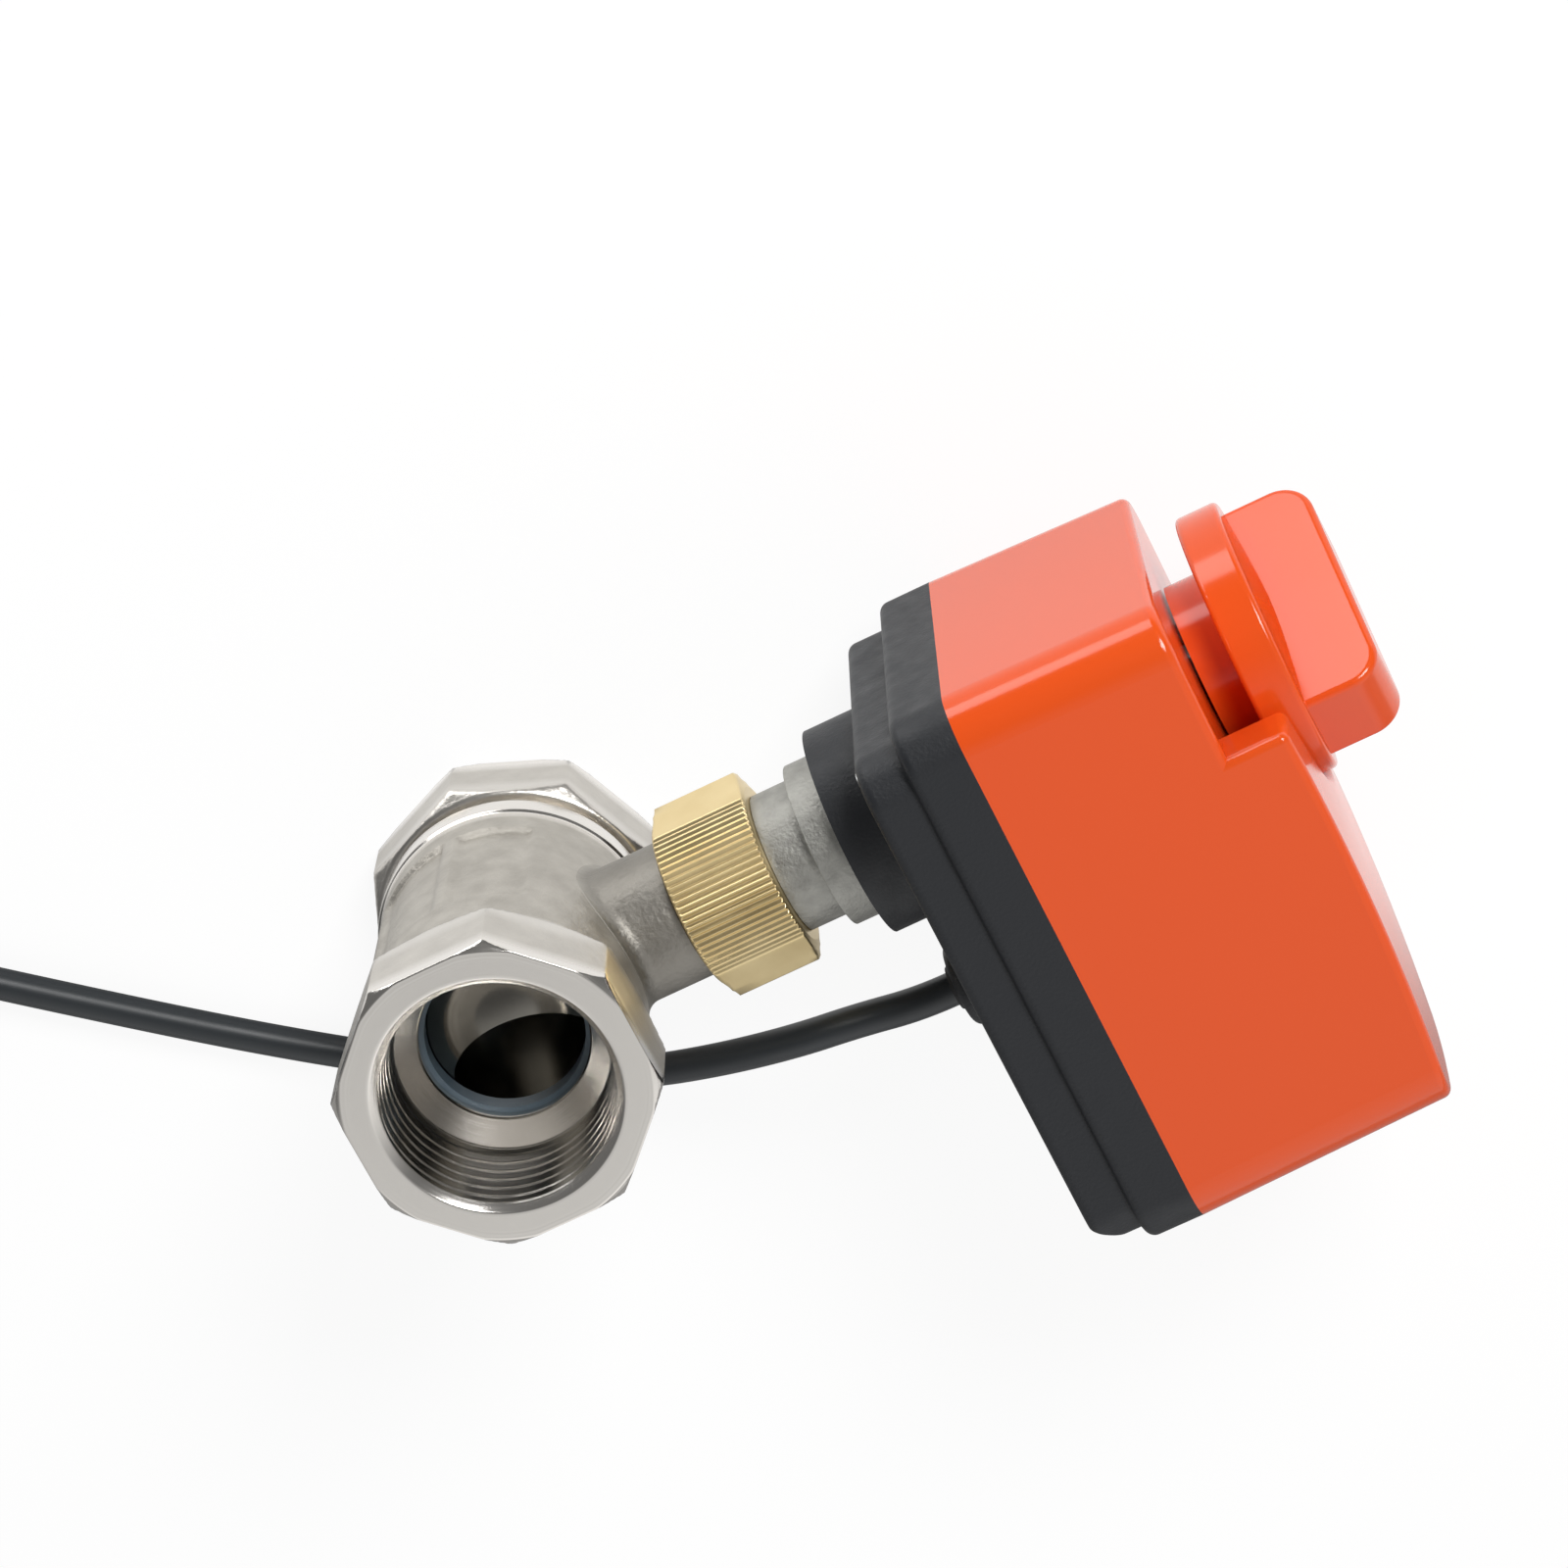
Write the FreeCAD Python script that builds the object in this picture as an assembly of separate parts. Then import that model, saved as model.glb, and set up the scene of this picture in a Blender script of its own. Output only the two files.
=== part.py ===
import FreeCAD, Part
import math
import os

# Motorized ball valve. Millimetres. The flow runs along Z, from the lower port's mouth at z = 0
# to the upper port's mouth. The stem and the drive shaft run along +X, from the ball's centre
# through the union nut and the housing to the knob. The housing's long end points to -Y.
# The lead comes down from the housing and lies on the surface that the lower port stands on.

# Clearances
fit_gap = 0.05
screw_gap = 0.1
part_gap = 0.3

# Ball and seats
ball_radius = 17.0
ball_wall = 6.0
ball_gap = 0.3
ball_turn = 34.0
seat_width = 4.5
seat_height = 5.0
seat_gap = 0.15
seat_step = 1.0

# Valve, with its two ports for a one inch pipe thread
valve_length = 75.0
port_radius = 15.15
throat_step = 1.0
throat_length = 2.35
body_seal_width = 1.05
body_seal_height = 1.0
barrel_wall = 1.55
collar_rise = 0.5
collar_length = 4.0
octagon_rise = 1.0
octagon_bevel = 1.2
lower_octagon_length = 12.5
upper_octagon_length = 14.5
lower_octagon_turn = 22.5
groove_width = 2.5
panel_half_width = 13.0
panel_half_height = 13.0
panel_height = 0.7
panel_rib_width = 1.2
neck_fillet = 2.5

# Stem and its seals
stem_radius = 4.0
stem_flange_width = 2.8
stem_flange_thickness = 2.0
stem_washer_thickness = 1.0
stem_tang_width = 4.8
stem_tang_half_length = 5.5
stem_tang_depth = 3.1
stem_square = 5.6
stem_square_length = 8.4
stem_ring_thickness = 1.0
stem_ring_first = 2.7
stem_ring_spacing = 3.4
packing_width = 2.2
packing_thickness = 2.6
gland_nut_thickness = 3.6
gland_slot_width = 1.4

# Neck, union nut and adapter
neck_length = 8.4
neck_wall = 3.6
neck_thread_length = 8.9
neck_thread_height = 0.5
nut_length = 14.6
nut_wall = 2.85
nut_corner_rise = 2.3
nut_corner_turn = 160.0
nut_knurl_count = 76
nut_knurl_depth = 0.45
nut_lip_thickness = 2.9
nut_lip_width = 1.5
nut_entry_bevel = 1.0
adapter_neck_length = 6.15
adapter_shoulder_width = 2.1
adapter_flange_width = 1.9
adapter_flange_thickness = 4.7
adapter_clearance = 1.2
retaining_ring_thickness = 1.1
retaining_ring_depth = 0.9
retaining_ring_gap = 2.4
locating_pin_radius = 0.7
locating_pin_length = 3.0
adapter_screw_count = 3
adapter_screw_radius = 1.2
adapter_screw_head_radius = 2.1
adapter_screw_head_height = 1.6
adapter_screw_inset = 2.1
adapter_screw_depth = 3.7

# Housing: base tray, cover and what joins them
boss_radius = 15.6
boss_length = 7.9
lead_boss_radius = 6.5
lead_boss_length = 4.6
tray_height = 6.7
rim_height = 8.4
shelf_height = 31.0
step_height = 8.0
dome_rise = 2.4
stem_end_y = 20.5
long_end_y = -64.2
half_width = 31.5
housing_corner = 7.0
cover_taper = 1.0
wall = 2.2
floor_thickness = 2.5
tray_corner = 6.5
tray_inset_side = 1.6
tray_inset_stem_end = 3.2
tray_inset_long_end = 1.6
tray_bevel = 4.6
shelf_step_y = -2.5
pocket_gap = 1.0
edge_round = 1.3
base_round = 1.6
gasket_width = 1.0
gasket_depth = 0.9
cover_screw_inset = 6.9
cover_screw_long_inset = 9.6
cover_screw_length = 24.0
cover_screw_radius = 1.4
cover_screw_head_radius = 2.4
cover_screw_head_height = 2.0
cover_screw_slot_width = 0.8
screw_boss_radius = 3.0

# Knob
knob_gap = 0.4
knob_hub_radius = 12.4
knob_hub_height = 5.2
knob_disc_radius = 20.3
knob_disc_thickness = 6.4
knob_disc_round = 0.8
knob_cone_height = 1.3
knob_cone_top_radius = 6.0
knob_bar_width = 13.5
knob_bar_rise = 11.8
knob_bar_inset = 0.9
knob_bar_corner = 5.0
knob_bar_round = 1.0
set_screw_radius = 1.5
set_screw_length = 6.0

# Drive shaft, bushings and gears
shaft_wall = 1.0
shaft_step = 1.0
shaft_in_knob = 13.2
socket_engagement = 4.7
socket_space = 2.3
bushing_thickness = 2.2
bushing_flange_width = 0.4
bushing_flange_height = 1.0
seal_ring_length = 3.8
seal_collar_length = 4.0
gear_module = 1.0
gear_tip_share = 0.95
gear_root_share = 1.2
pressure_angle = 20.0
output_teeth = 28
idler_teeth = 20
pinion_teeth = 14
idler_direction = 152.0
tooth_backlash = 0.16
gear_thickness = 5.0
gear_hub_wall = 3.0
gear_hub_rise = 1.0
idler_pin_radius = 2.0
idler_boss_radius = 4.0

# Gear plate, its posts and the motor
plate_lift = 3.0
plate_thickness = 1.5
plate_corner = 4.0
plate_side_inset = 5.5
plate_screw_radius = 1.2
plate_screw_head_radius = 2.2
plate_screw_head_height = 1.5
post_radius = 2.5
post_inset = 2.7
motor_radius = 18.0
motor_headroom = 1.7
motor_round = 1.5
motor_shaft_radius = 2.0
motor_shaft_depth = 3.0
motor_ear_radius = 3.2
motor_ear_reach = 2.0
motor_ear_thickness = 1.2
motor_screw_radius = 1.2
motor_screw_head_radius = 2.0
motor_screw_head_height = 1.4

# Cams and limit switches
cam_wall = 2.6
cam_lobe_rise = 2.0
cam_lobe_turn = 70.0
cam_thickness = 3.0
cam_lift = 2.1
cam_spacing = 1.4
gear_lift = 2.4
switch_length = 20.0
switch_height = 9.0
switch_thickness = 6.0
switch_start_y = -15.6
switch_screw_radius = 0.95
switch_screw_head_radius = 1.8
switch_screw_head_height = 1.2
switch_screw_edge = 2.8
switch_post_radius = 2.3
lever_gap = 0.8
lever_thickness = 0.5
lever_width = 4.0
lever_pin_radius = 0.5
lever_pin_height = 1.6
lever_cheek_width = 0.8
lever_cheek_rise = 0.8
lever_ear_width = 1.8
lever_body_gap = 1.2

# Circuit board and what is on it
board_lift = 2.5
board_thickness = 1.6
board_length = 18.6
board_side_gap = 0.8
board_end_gap = 0.7
board_screw_radius = 1.0
board_screw_head_radius = 1.9
board_screw_head_height = 1.3
board_screw_edge = 3.2
board_post_radius = 2.2
terminal_height = 8.0
terminal_depth = 8.0
terminal_side_gap = 2.9
terminal_ways = 3
terminal_opening = 3.6
capacitor_length = 7.4
capacitor_width = 4.6
capacitor_height = 7.6
capacitor_round = 0.6

# Power lead: where it leaves, its free stretch and its tied coil
lead_diameter = 5.0
lead_y = -28.2
gland_reach = 0.7
gland_tip_wall = 0.7
gland_flange_wall = 2.5
gland_flange_thickness = 1.0
gland_neck_wall = 1.25
lead_inside_length = 13.3
clamp_thickness = 3.0
clamp_half_length = 7.0
clamp_half_width = 4.5
conductor_radius = 0.8
wire_lift = 3.4
wire_bend = 5.0
wire_lead_in = 4.0
wire_depth = 2.0
coil_outer_radius = 31.8
coil_pitch = 6.6
coil_layer_rise = 6.4
coil_surface_gap = 0.8
coil_heading_degrees = 137.2
coil_start_place = (-103.28, 46.62)
coil_run_in = 20.25
tie_width = 6.0
tie_thickness = 0.7
tie_slack = 0.5
tie_round = 1.0
stripped_length = 7.0
bare_end_reaches = (0.0, 4.0, 10.0, 17.0, 27.0)
bare_end_falls = (0.0, 0.0, 0.5, 1.0, 1.0)
bare_end_spreads = ((-2.9, -5.2, -9.2), (0.4, 1.1, 2.7), (3.4, 6.2, 9.0))

# Derived radii
ball_bore_radius = ball_radius - ball_wall
cavity_radius = ball_radius + ball_gap
connector_spigot_radius = cavity_radius + body_seal_width + fit_gap
barrel_radius = connector_spigot_radius + fit_gap + barrel_wall
octagon_flats = 2 * (barrel_radius + octagon_rise)
throat_radius = ball_bore_radius + throat_step
seat_bore_radius = ball_bore_radius + ball_gap
seat_outer_radius = seat_bore_radius + seat_width
stem_flange_radius = stem_radius + stem_flange_width
packing_radius = stem_radius + packing_width
neck_thread_radius = packing_radius + neck_wall
neck_radius = neck_thread_radius + neck_thread_height
nut_knurl_radius = neck_thread_radius + fit_gap + nut_wall
nut_corner_radius = nut_knurl_radius + nut_corner_rise
shaft_radius = stem_radius + shaft_wall
shaft_top_radius = shaft_radius - shaft_step
adapter_bore_radius = shaft_radius + adapter_clearance
adapter_spigot_radius = neck_thread_radius - nut_lip_width
adapter_radius = adapter_spigot_radius + adapter_shoulder_width
adapter_flange_radius = adapter_radius + adapter_flange_width
adapter_screw_circle = adapter_flange_radius - adapter_screw_inset
bushing_radius = shaft_radius + bushing_thickness
seal_hole_radius = shaft_top_radius + bushing_thickness
pocket_radius = knob_disc_radius + pocket_gap
cam_radius = shaft_radius + cam_wall
cam_lobe_radius = cam_radius + cam_lobe_rise
lead_radius = lead_diameter / 2

# Derived places along the flow axis, from the lower port's mouth
axis_z = valve_length / 2
seat_floor = ball_radius - seat_step
port_cone = port_radius - throat_radius
thread_depth = axis_z - seat_floor - throat_length - port_cone
body_bottom_z = lower_octagon_length + groove_width
spigot_end_z = axis_z - seat_floor + seat_height
shoulder_z = spigot_end_z + body_seal_height

# Derived places along the stem axis, from the ball's centre
flange_bottom_x = cavity_radius + fit_gap
flange_top_x = flange_bottom_x + stem_flange_thickness
washer_top_x = flange_top_x + stem_washer_thickness
neck_shoulder_x = barrel_radius + neck_length
neck_top_x = neck_shoulder_x + neck_thread_length
gland_bottom_x = neck_top_x - part_gap - gland_nut_thickness
packing_bottom_x = gland_bottom_x - packing_thickness
stem_end_x = neck_top_x + stem_square_length
nut_start_x = neck_shoulder_x + part_gap
nut_end_x = nut_start_x + nut_length
nut_lip_x = nut_end_x - nut_lip_thickness
ring_place_x = nut_lip_x - retaining_ring_thickness - fit_gap
adapter_shoulder_x = nut_end_x + fit_gap
adapter_flange_x = adapter_shoulder_x + adapter_neck_length
adapter_end_x = adapter_flange_x + adapter_flange_thickness
base_floor_x = adapter_end_x + boss_length
base_step_x = base_floor_x + tray_height
joint_x = base_step_x + rim_height
shelf_x = joint_x + shelf_height
top_x = shelf_x + step_height
crown_x = top_x + dome_rise
cap_x = base_floor_x + floor_thickness
cam_lower_x = cap_x + cam_lift
cam_upper_x = cam_lower_x + cam_thickness + cam_spacing
gear_bottom_x = cam_upper_x + cam_thickness + gear_lift
gear_top_x = gear_bottom_x + gear_thickness
plate_x = gear_top_x + plate_lift
plate_top_x = plate_x + plate_thickness
motor_top_x = shelf_x - wall - motor_headroom
knob_bottom_x = shelf_x + knob_gap
knob_disc_x = knob_bottom_x + knob_hub_height
knob_disc_top_x = knob_disc_x + knob_disc_thickness
knob_top_x = knob_disc_top_x + knob_bar_rise

# The knob's grip lies along the ball's bore
knob_turn = ball_turn - 90.0
shaft_start_x = stem_end_x - socket_engagement
shaft_step_x = plate_top_x + bushing_flange_height + 1.0
shaft_end_x = knob_bottom_x + shaft_in_knob
board_x = cap_x + board_lift
board_top_x = board_x + board_thickness
lead_boss_x = base_floor_x - lead_boss_length
gland_tip_x = lead_boss_x - gland_reach
inner_lead_end_x = gland_tip_x + lead_inside_length

# Derived places across the housing
inner_long_y = long_end_y + wall + tray_inset_long_end + tray_bevel / 2
inner_stem_y = stem_end_y - wall - tray_inset_stem_end
cover_screw_stem_y = stem_end_y - cover_screw_inset
cover_screw_long_y = long_end_y + cover_screw_long_inset
cover_screw_z = half_width - cover_screw_inset
plate_stem_y = cover_screw_stem_y - screw_boss_radius - part_gap
plate_long_y = cover_screw_long_y + screw_boss_radius + part_gap
plate_half_width = half_width - plate_side_inset
lever_z = cam_lobe_radius + lever_gap
lever_pin_z = lever_z + lever_pin_height
lever_pin_y = switch_start_y + lever_thickness * 2
switch_z = lever_pin_z + lever_body_gap
board_half_width = plate_half_width - post_inset - post_radius - board_side_gap
terminal_half_width = (board_half_width - board_screw_edge - board_screw_head_radius
                       - terminal_side_gap)
board_long_y = inner_long_y + board_end_gap
board_stem_y = board_long_y + board_length
terminal_face_y = board_long_y + part_gap + terminal_depth

# Derived heights and radii of the lead and its coil
lead_low_z = lead_radius + fit_gap
coil_low_z = lead_radius + coil_surface_gap
coil_high_z = coil_low_z + coil_layer_rise
coil_drop = coil_pitch / 2
coil_inner_radius = coil_outer_radius - coil_pitch

vector = FreeCAD.Vector
along_x = vector(1, 0, 0)
along_z = vector(0, 0, 1)
os.makedirs("parts", exist_ok=True)


def save(shape, name):
    """Write one piece, or a group of like pieces, as its own file."""
    shape.exportStep("parts/" + name + ".step")


def rod_x(radius, x0, x1, y=0.0, z=0.0):
    """Cylinder along X, with y and z counted from the stem axis."""
    return Part.makeCylinder(radius, x1 - x0, vector(x0, y, axis_z + z), along_x)


def cone_x(r0, r1, x0, x1, y=0.0, z=0.0):
    return Part.makeCone(r0, r1, x1 - x0, vector(x0, y, axis_z + z), along_x)


def ring_x(outer, inner, x0, x1, y=0.0, z=0.0):
    return rod_x(outer, x0, x1, y, z).cut(rod_x(inner, x0 - 1, x1 + 1, y, z))


def rod_z(radius, z0, z1):
    """Cylinder along the flow axis."""
    return Part.makeCylinder(radius, z1 - z0, vector(0, 0, z0), along_z)


def cone_z(r0, r1, z0, z1):
    return Part.makeCone(r0, r1, z1 - z0, vector(0, 0, z0), along_z)


def ring_z(outer, inner, z0, z1):
    return rod_z(outer, z0, z1).cut(rod_z(inner, z0 - 1, z1 + 1))


def block(x0, x1, y0, y1, z0, z1):
    """Box with its z limits counted from the stem axis."""
    return Part.makeBox(x1 - x0, y1 - y0, z1 - z0, vector(x0, y0, axis_z + z0))


def rounded_outline(x, y0, y1, z_half, corner):
    """Closed wire of a rectangle with round corners, in the plane at x."""
    zs = (axis_z - z_half, axis_z + z_half)
    diagonal = corner * (1 - math.sqrt(0.5))
    corners = ((y0, zs[0], 1, 1), (y1, zs[0], -1, 1), (y1, zs[1], -1, -1), (y0, zs[1], 1, -1))
    arcs = []
    for number, (y, z, sy, sz) in enumerate(corners):
        along_side = vector(x, y, z + sz * corner)
        along_end = vector(x, y + sy * corner, z)
        middle = vector(x, y + sy * diagonal, z + sz * diagonal)
        ends = (along_side, along_end) if number % 2 == 0 else (along_end, along_side)
        arcs.append((ends[0], middle, ends[1]))
    edges = []
    for number, (start, middle, end) in enumerate(arcs):
        edges.append(Part.Arc(start, middle, end).toShape())
        edges.append(Part.LineSegment(end, arcs[(number + 1) % 4][0]).toShape())
    return Part.Wire(edges)


def slab(x0, x1, y0, y1, z_half, corner, taper=0.0):
    """Rounded rectangular block along X, drawn in by the taper at its far end."""
    lower = rounded_outline(x0, y0, y1, z_half, corner)
    if taper == 0.0:
        return Part.Face(lower).extrude(vector(x1 - x0, 0, 0))
    upper = rounded_outline(x1, y0 + taper, y1 - taper, z_half - taper, corner)
    return Part.makeLoft([lower, upper], True, True)


def housing_slab(x0, x1, inset):
    """Block with the housing's outline, drawn in by the inset all round."""
    return slab(x0, x1, long_end_y + inset, stem_end_y - inset, half_width - inset,
                housing_corner - inset)


def turned_x(shape, degrees, y=0.0, z=0.0):
    """Copy of a shape, turned about an axis along X."""
    copy = shape.copy()
    copy.rotate(vector(0, y, axis_z + z), along_x, degrees)
    return copy


def joined(shapes):
    """One solid of shapes that touch or overlap."""
    return shapes[0].multiFuse(shapes[1:]).removeSplitter()


def without(shape, cutters):
    """The shape with every cutter taken away."""
    for cutter in cutters:
        shape = shape.cut(cutter)
    return shape


def around_axis(shape, count, start=0.0):
    """Copies of a shape, evenly spaced around the stem axis."""
    return [turned_x(shape, start + 360.0 * number / count) for number in range(count)]


def screw_x(radius, head_radius, head_height, tip_x, seat_x, y, z):
    """Screw along X with its head above the seat."""
    shank = rod_x(radius, tip_x, seat_x + head_height / 2, y, z)
    return joined([shank, rod_x(head_radius, seat_x, seat_x + head_height, y, z)])


def octagon(z0, z1, turn=0.0):
    """Wrench octagon with both ends turned round at the corners, turned by some degrees."""
    corner = octagon_flats / 2 / math.cos(math.pi / 8)
    points = []
    for number in range(9):
        angle = math.pi / 8 + number * math.pi / 4 + math.radians(turn)
        points.append(vector(corner * math.cos(angle), corner * math.sin(angle), z0))
    prism = Part.Face(Part.makePolygon(points)).extrude(vector(0, 0, z1 - z0))
    small = (octagon_flats - octagon_bevel) / 2
    large = small + 2 * (z1 - z0)
    return prism.common(cone_z(small, large, z0, z1)).common(cone_z(large, small, z0, z1))


def port_cutters(upper):
    """What is cut away inside one port: thread bore, cone and throat."""
    cone_end = thread_depth + port_cone
    seat_z = axis_z - seat_floor
    cutters = [
        rod_z(port_radius, -1, thread_depth),
        cone_z(port_radius, throat_radius, thread_depth, cone_end),
        rod_z(throat_radius, cone_end - 1, seat_z + 1),
    ]
    if upper:
        middle = vector(0, 0, axis_z)
        cutters = [cutter.mirror(middle, along_z) for cutter in cutters]
    return cutters


def barrel_with_neck(barrel_top_z):
    """Round barrel with the neck that stands on its side, blended where they meet."""
    barrel = rod_z(barrel_radius, body_bottom_z, barrel_top_z)
    solid = barrel.fuse(rod_x(neck_radius, 0, neck_shoulder_x))
    meeting = []
    for edge in solid.Edges:
        first, last = edge.ParameterRange
        places = [edge.valueAt(first + share * (last - first)) for share in (0.1, 0.5, 0.9)]
        on_barrel = all(abs(math.hypot(place.x, place.y) - barrel_radius) < 0.01 for place in places)
        on_neck = all(abs(math.hypot(place.y, place.z - axis_z) - neck_radius) < 0.01
                      for place in places)
        if on_barrel and on_neck:
            meeting.append(edge)
    return solid.makeFillet(neck_fillet, meeting)


def make_valve_body():
    top_octagon_z = valve_length - upper_octagon_length
    panel_z0 = axis_z - panel_half_height
    panel_z1 = axis_z + panel_half_height
    reach = barrel_radius + 2 * panel_height + 1
    window = Part.makeBox(2 * panel_half_width, reach, panel_z1 - panel_z0,
                          vector(-panel_half_width, 0, panel_z0))
    rib_window = Part.makeBox(panel_rib_width, reach, panel_z1 - panel_z0,
                              vector(-panel_rib_width / 2, 0, panel_z0))
    solid = joined([
        barrel_with_neck(top_octagon_z + 1),
        rod_z(barrel_radius + collar_rise, body_bottom_z, body_bottom_z + collar_length),
        octagon(top_octagon_z, valve_length),
        rod_z(barrel_radius + panel_height, panel_z0, panel_z1).common(window),
        rod_z(barrel_radius + 2 * panel_height, panel_z0, panel_z1).common(rib_window),
        rod_x(neck_thread_radius, neck_shoulder_x - 1, neck_top_x),
    ])
    seat_z = axis_z + seat_floor
    solid = without(solid, [
        rod_z(connector_spigot_radius + fit_gap, body_bottom_z - 1, shoulder_z),
        rod_z(cavity_radius, shoulder_z - 1, seat_z - seat_height),
        rod_z(seat_outer_radius + fit_gap, seat_z - seat_height - 1, seat_z),
        rod_x(stem_flange_radius + part_gap, 0, washer_top_x),
        rod_x(stem_radius + fit_gap, 0, neck_top_x + 1),
        rod_x(packing_radius + fit_gap, packing_bottom_x, neck_top_x + 1),
    ])
    solid = without(solid, port_cutters(True))
    save(without(solid, locating_pin_solids(fit_gap)), "valve_body")


def make_end_connector():
    solid = joined([octagon(0, lower_octagon_length, lower_octagon_turn),
                    rod_z(connector_spigot_radius, lower_octagon_length - 1, spigot_end_z)])
    solid = solid.cut(rod_z(seat_outer_radius + fit_gap, axis_z - seat_floor, spigot_end_z + 1))
    save(without(solid, port_cutters(False)), "end_connector")


def make_body_joint_seal():
    seal = ring_z(connector_spigot_radius, cavity_radius + fit_gap, spigot_end_z, shoulder_z)
    save(seal, "body_joint_seal")


def make_ball():
    sphere = Part.makeSphere(ball_radius, vector(0, 0, axis_z))
    bore = rod_z(ball_bore_radius, axis_z - ball_radius - 1, axis_z + ball_radius + 1)
    half_slot = stem_tang_width / 2 + screw_gap
    slot_floor = flange_bottom_x - stem_tang_depth - part_gap
    slot = block(slot_floor, ball_radius + 1, -ball_radius, ball_radius, -half_slot, half_slot)
    save(turned_x(sphere.cut(bore).cut(slot), ball_turn), "ball")


def make_seats():
    """Each seat ring has a round hollow that the ball turns in."""
    hollow = Part.makeSphere(ball_radius + seat_gap, vector(0, 0, axis_z))
    for name, floor, front in (("upper", 1, 0), ("lower", 0, 1)):
        z0 = axis_z + (seat_floor - seat_height if floor else -seat_floor)
        z1 = z0 + seat_height
        save(ring_z(seat_outer_radius, seat_bore_radius, z0, z1).cut(hollow), name + "_seat")


def stem_ring_places():
    first = washer_top_x + stem_ring_first
    return (first, first + stem_ring_spacing)


def make_stem():
    half_tang = stem_tang_width / 2
    half_square = stem_square / 2
    square = block(neck_top_x, stem_end_x, -half_square, half_square, -half_square, half_square)
    solid = joined([
        block(flange_bottom_x - stem_tang_depth, flange_bottom_x + 1, -stem_tang_half_length,
              stem_tang_half_length, -half_tang, half_tang),
        rod_x(stem_flange_radius, flange_bottom_x, flange_top_x),
        rod_x(stem_radius, flange_bottom_x, neck_top_x + part_gap),
        square.common(rod_x(stem_radius, neck_top_x, stem_end_x)),
    ])
    half_ring = stem_ring_thickness / 2
    rings = []
    for place in stem_ring_places():
        end = place + stem_ring_thickness
        solid = solid.cut(ring_x(stem_radius + 1, stem_radius - stem_ring_thickness,
                                 place - fit_gap, end + fit_gap))
        centre = vector(place + half_ring, 0, axis_z)
        rings.append(Part.makeTorus(stem_radius - half_ring, half_ring, centre, along_x))
    save(turned_x(solid, ball_turn), "stem")
    save(Part.makeCompound(rings), "stem_seal_rings")
    washer = ring_x(stem_flange_radius, stem_radius + fit_gap, flange_top_x + fit_gap, washer_top_x)
    save(washer, "stem_thrust_washer")


def make_packing():
    inner = stem_radius + fit_gap
    gland_top_x = gland_bottom_x + gland_nut_thickness
    save(ring_x(packing_radius, inner, packing_bottom_x, gland_bottom_x), "stem_packing")
    gland = ring_x(packing_radius, inner, gland_bottom_x, gland_top_x)
    half = gland_slot_width / 2
    slot = block(gland_top_x - gland_nut_thickness / 2, gland_top_x + 1, -packing_radius - 1,
                 packing_radius + 1, -half, half)
    save(gland.cut(slot), "packing_gland")


def locating_pin_solids(extra=0.0):
    """Two pins across the face between the neck and the adapter."""
    radius = (adapter_spigot_radius + packing_radius) / 2
    half = locating_pin_length / 2 + extra
    pin = rod_x(locating_pin_radius + extra, neck_top_x - half, neck_top_x + half, radius)
    return around_axis(pin, 2, 45.0)


def make_union_nut():
    """Round knurled nut with two opposite hexagon corners to grip with a wrench."""
    opening = math.acos(nut_knurl_radius / nut_corner_radius)
    y = nut_knurl_radius * math.cos(opening)
    z = nut_knurl_radius * math.sin(opening)
    outline = [vector(nut_start_x, nut_corner_radius, axis_z), vector(nut_start_x, y, axis_z + z),
               vector(nut_start_x, 0, axis_z), vector(nut_start_x, y, axis_z - z)]
    outline.append(outline[0])
    corner = Part.Face(Part.makePolygon(outline)).extrude(vector(nut_length, 0, 0))
    round_body = rod_x(nut_knurl_radius, nut_start_x, nut_end_x)
    body = joined([round_body] + around_axis(corner, 2))
    half = nut_knurl_depth * math.sqrt(0.5)
    notch = block(nut_start_x - 1, nut_end_x + 1, -half, half, -half, half)
    notch = turned_x(notch, 45.0)
    notch.translate(vector(0, nut_knurl_radius, 0))
    step = 360.0 / nut_knurl_count
    smooth = math.degrees(opening) + step
    notches = []
    for number in range(nut_knurl_count):
        angle = number * step
        if min(angle, abs(angle - 180.0), 360.0 - angle) > smooth:
            notches.append(turned_x(notch, angle))
    body = without(body, [
        Part.makeCompound(notches),
        rod_x(neck_thread_radius + fit_gap, nut_start_x - 1, nut_lip_x),
        rod_x(adapter_spigot_radius + fit_gap, nut_lip_x - 1, nut_end_x + 1),
        cone_x(neck_radius + nut_entry_bevel, neck_radius - nut_entry_bevel,
               nut_start_x - nut_entry_bevel, nut_start_x + nut_entry_bevel),
    ])
    save(turned_x(body, nut_corner_turn), "union_nut")


def adapter_screw_copies(shape):
    return around_axis(shape, adapter_screw_count, 90.0)


def make_adapter():
    solid = joined([
        rod_x(adapter_spigot_radius, neck_top_x, adapter_shoulder_x + 1),
        rod_x(adapter_radius, adapter_shoulder_x, adapter_flange_x + 1),
        rod_x(adapter_flange_radius, adapter_flange_x, adapter_end_x),
    ])
    ring_end_x = ring_place_x + retaining_ring_thickness
    groove = ring_x(adapter_spigot_radius + 1, adapter_spigot_radius - retaining_ring_depth,
                    ring_place_x - fit_gap, ring_end_x + fit_gap)
    hole = rod_x(adapter_screw_radius + screw_gap, adapter_end_x - adapter_screw_depth - part_gap,
                 adapter_end_x + 1, adapter_screw_circle)
    solid = solid.cut(rod_x(adapter_bore_radius, neck_top_x - 1, adapter_end_x + 1)).cut(groove)
    solid = without(solid, locating_pin_solids(fit_gap))
    save(without(solid, adapter_screw_copies(hole)), "adapter")


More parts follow.
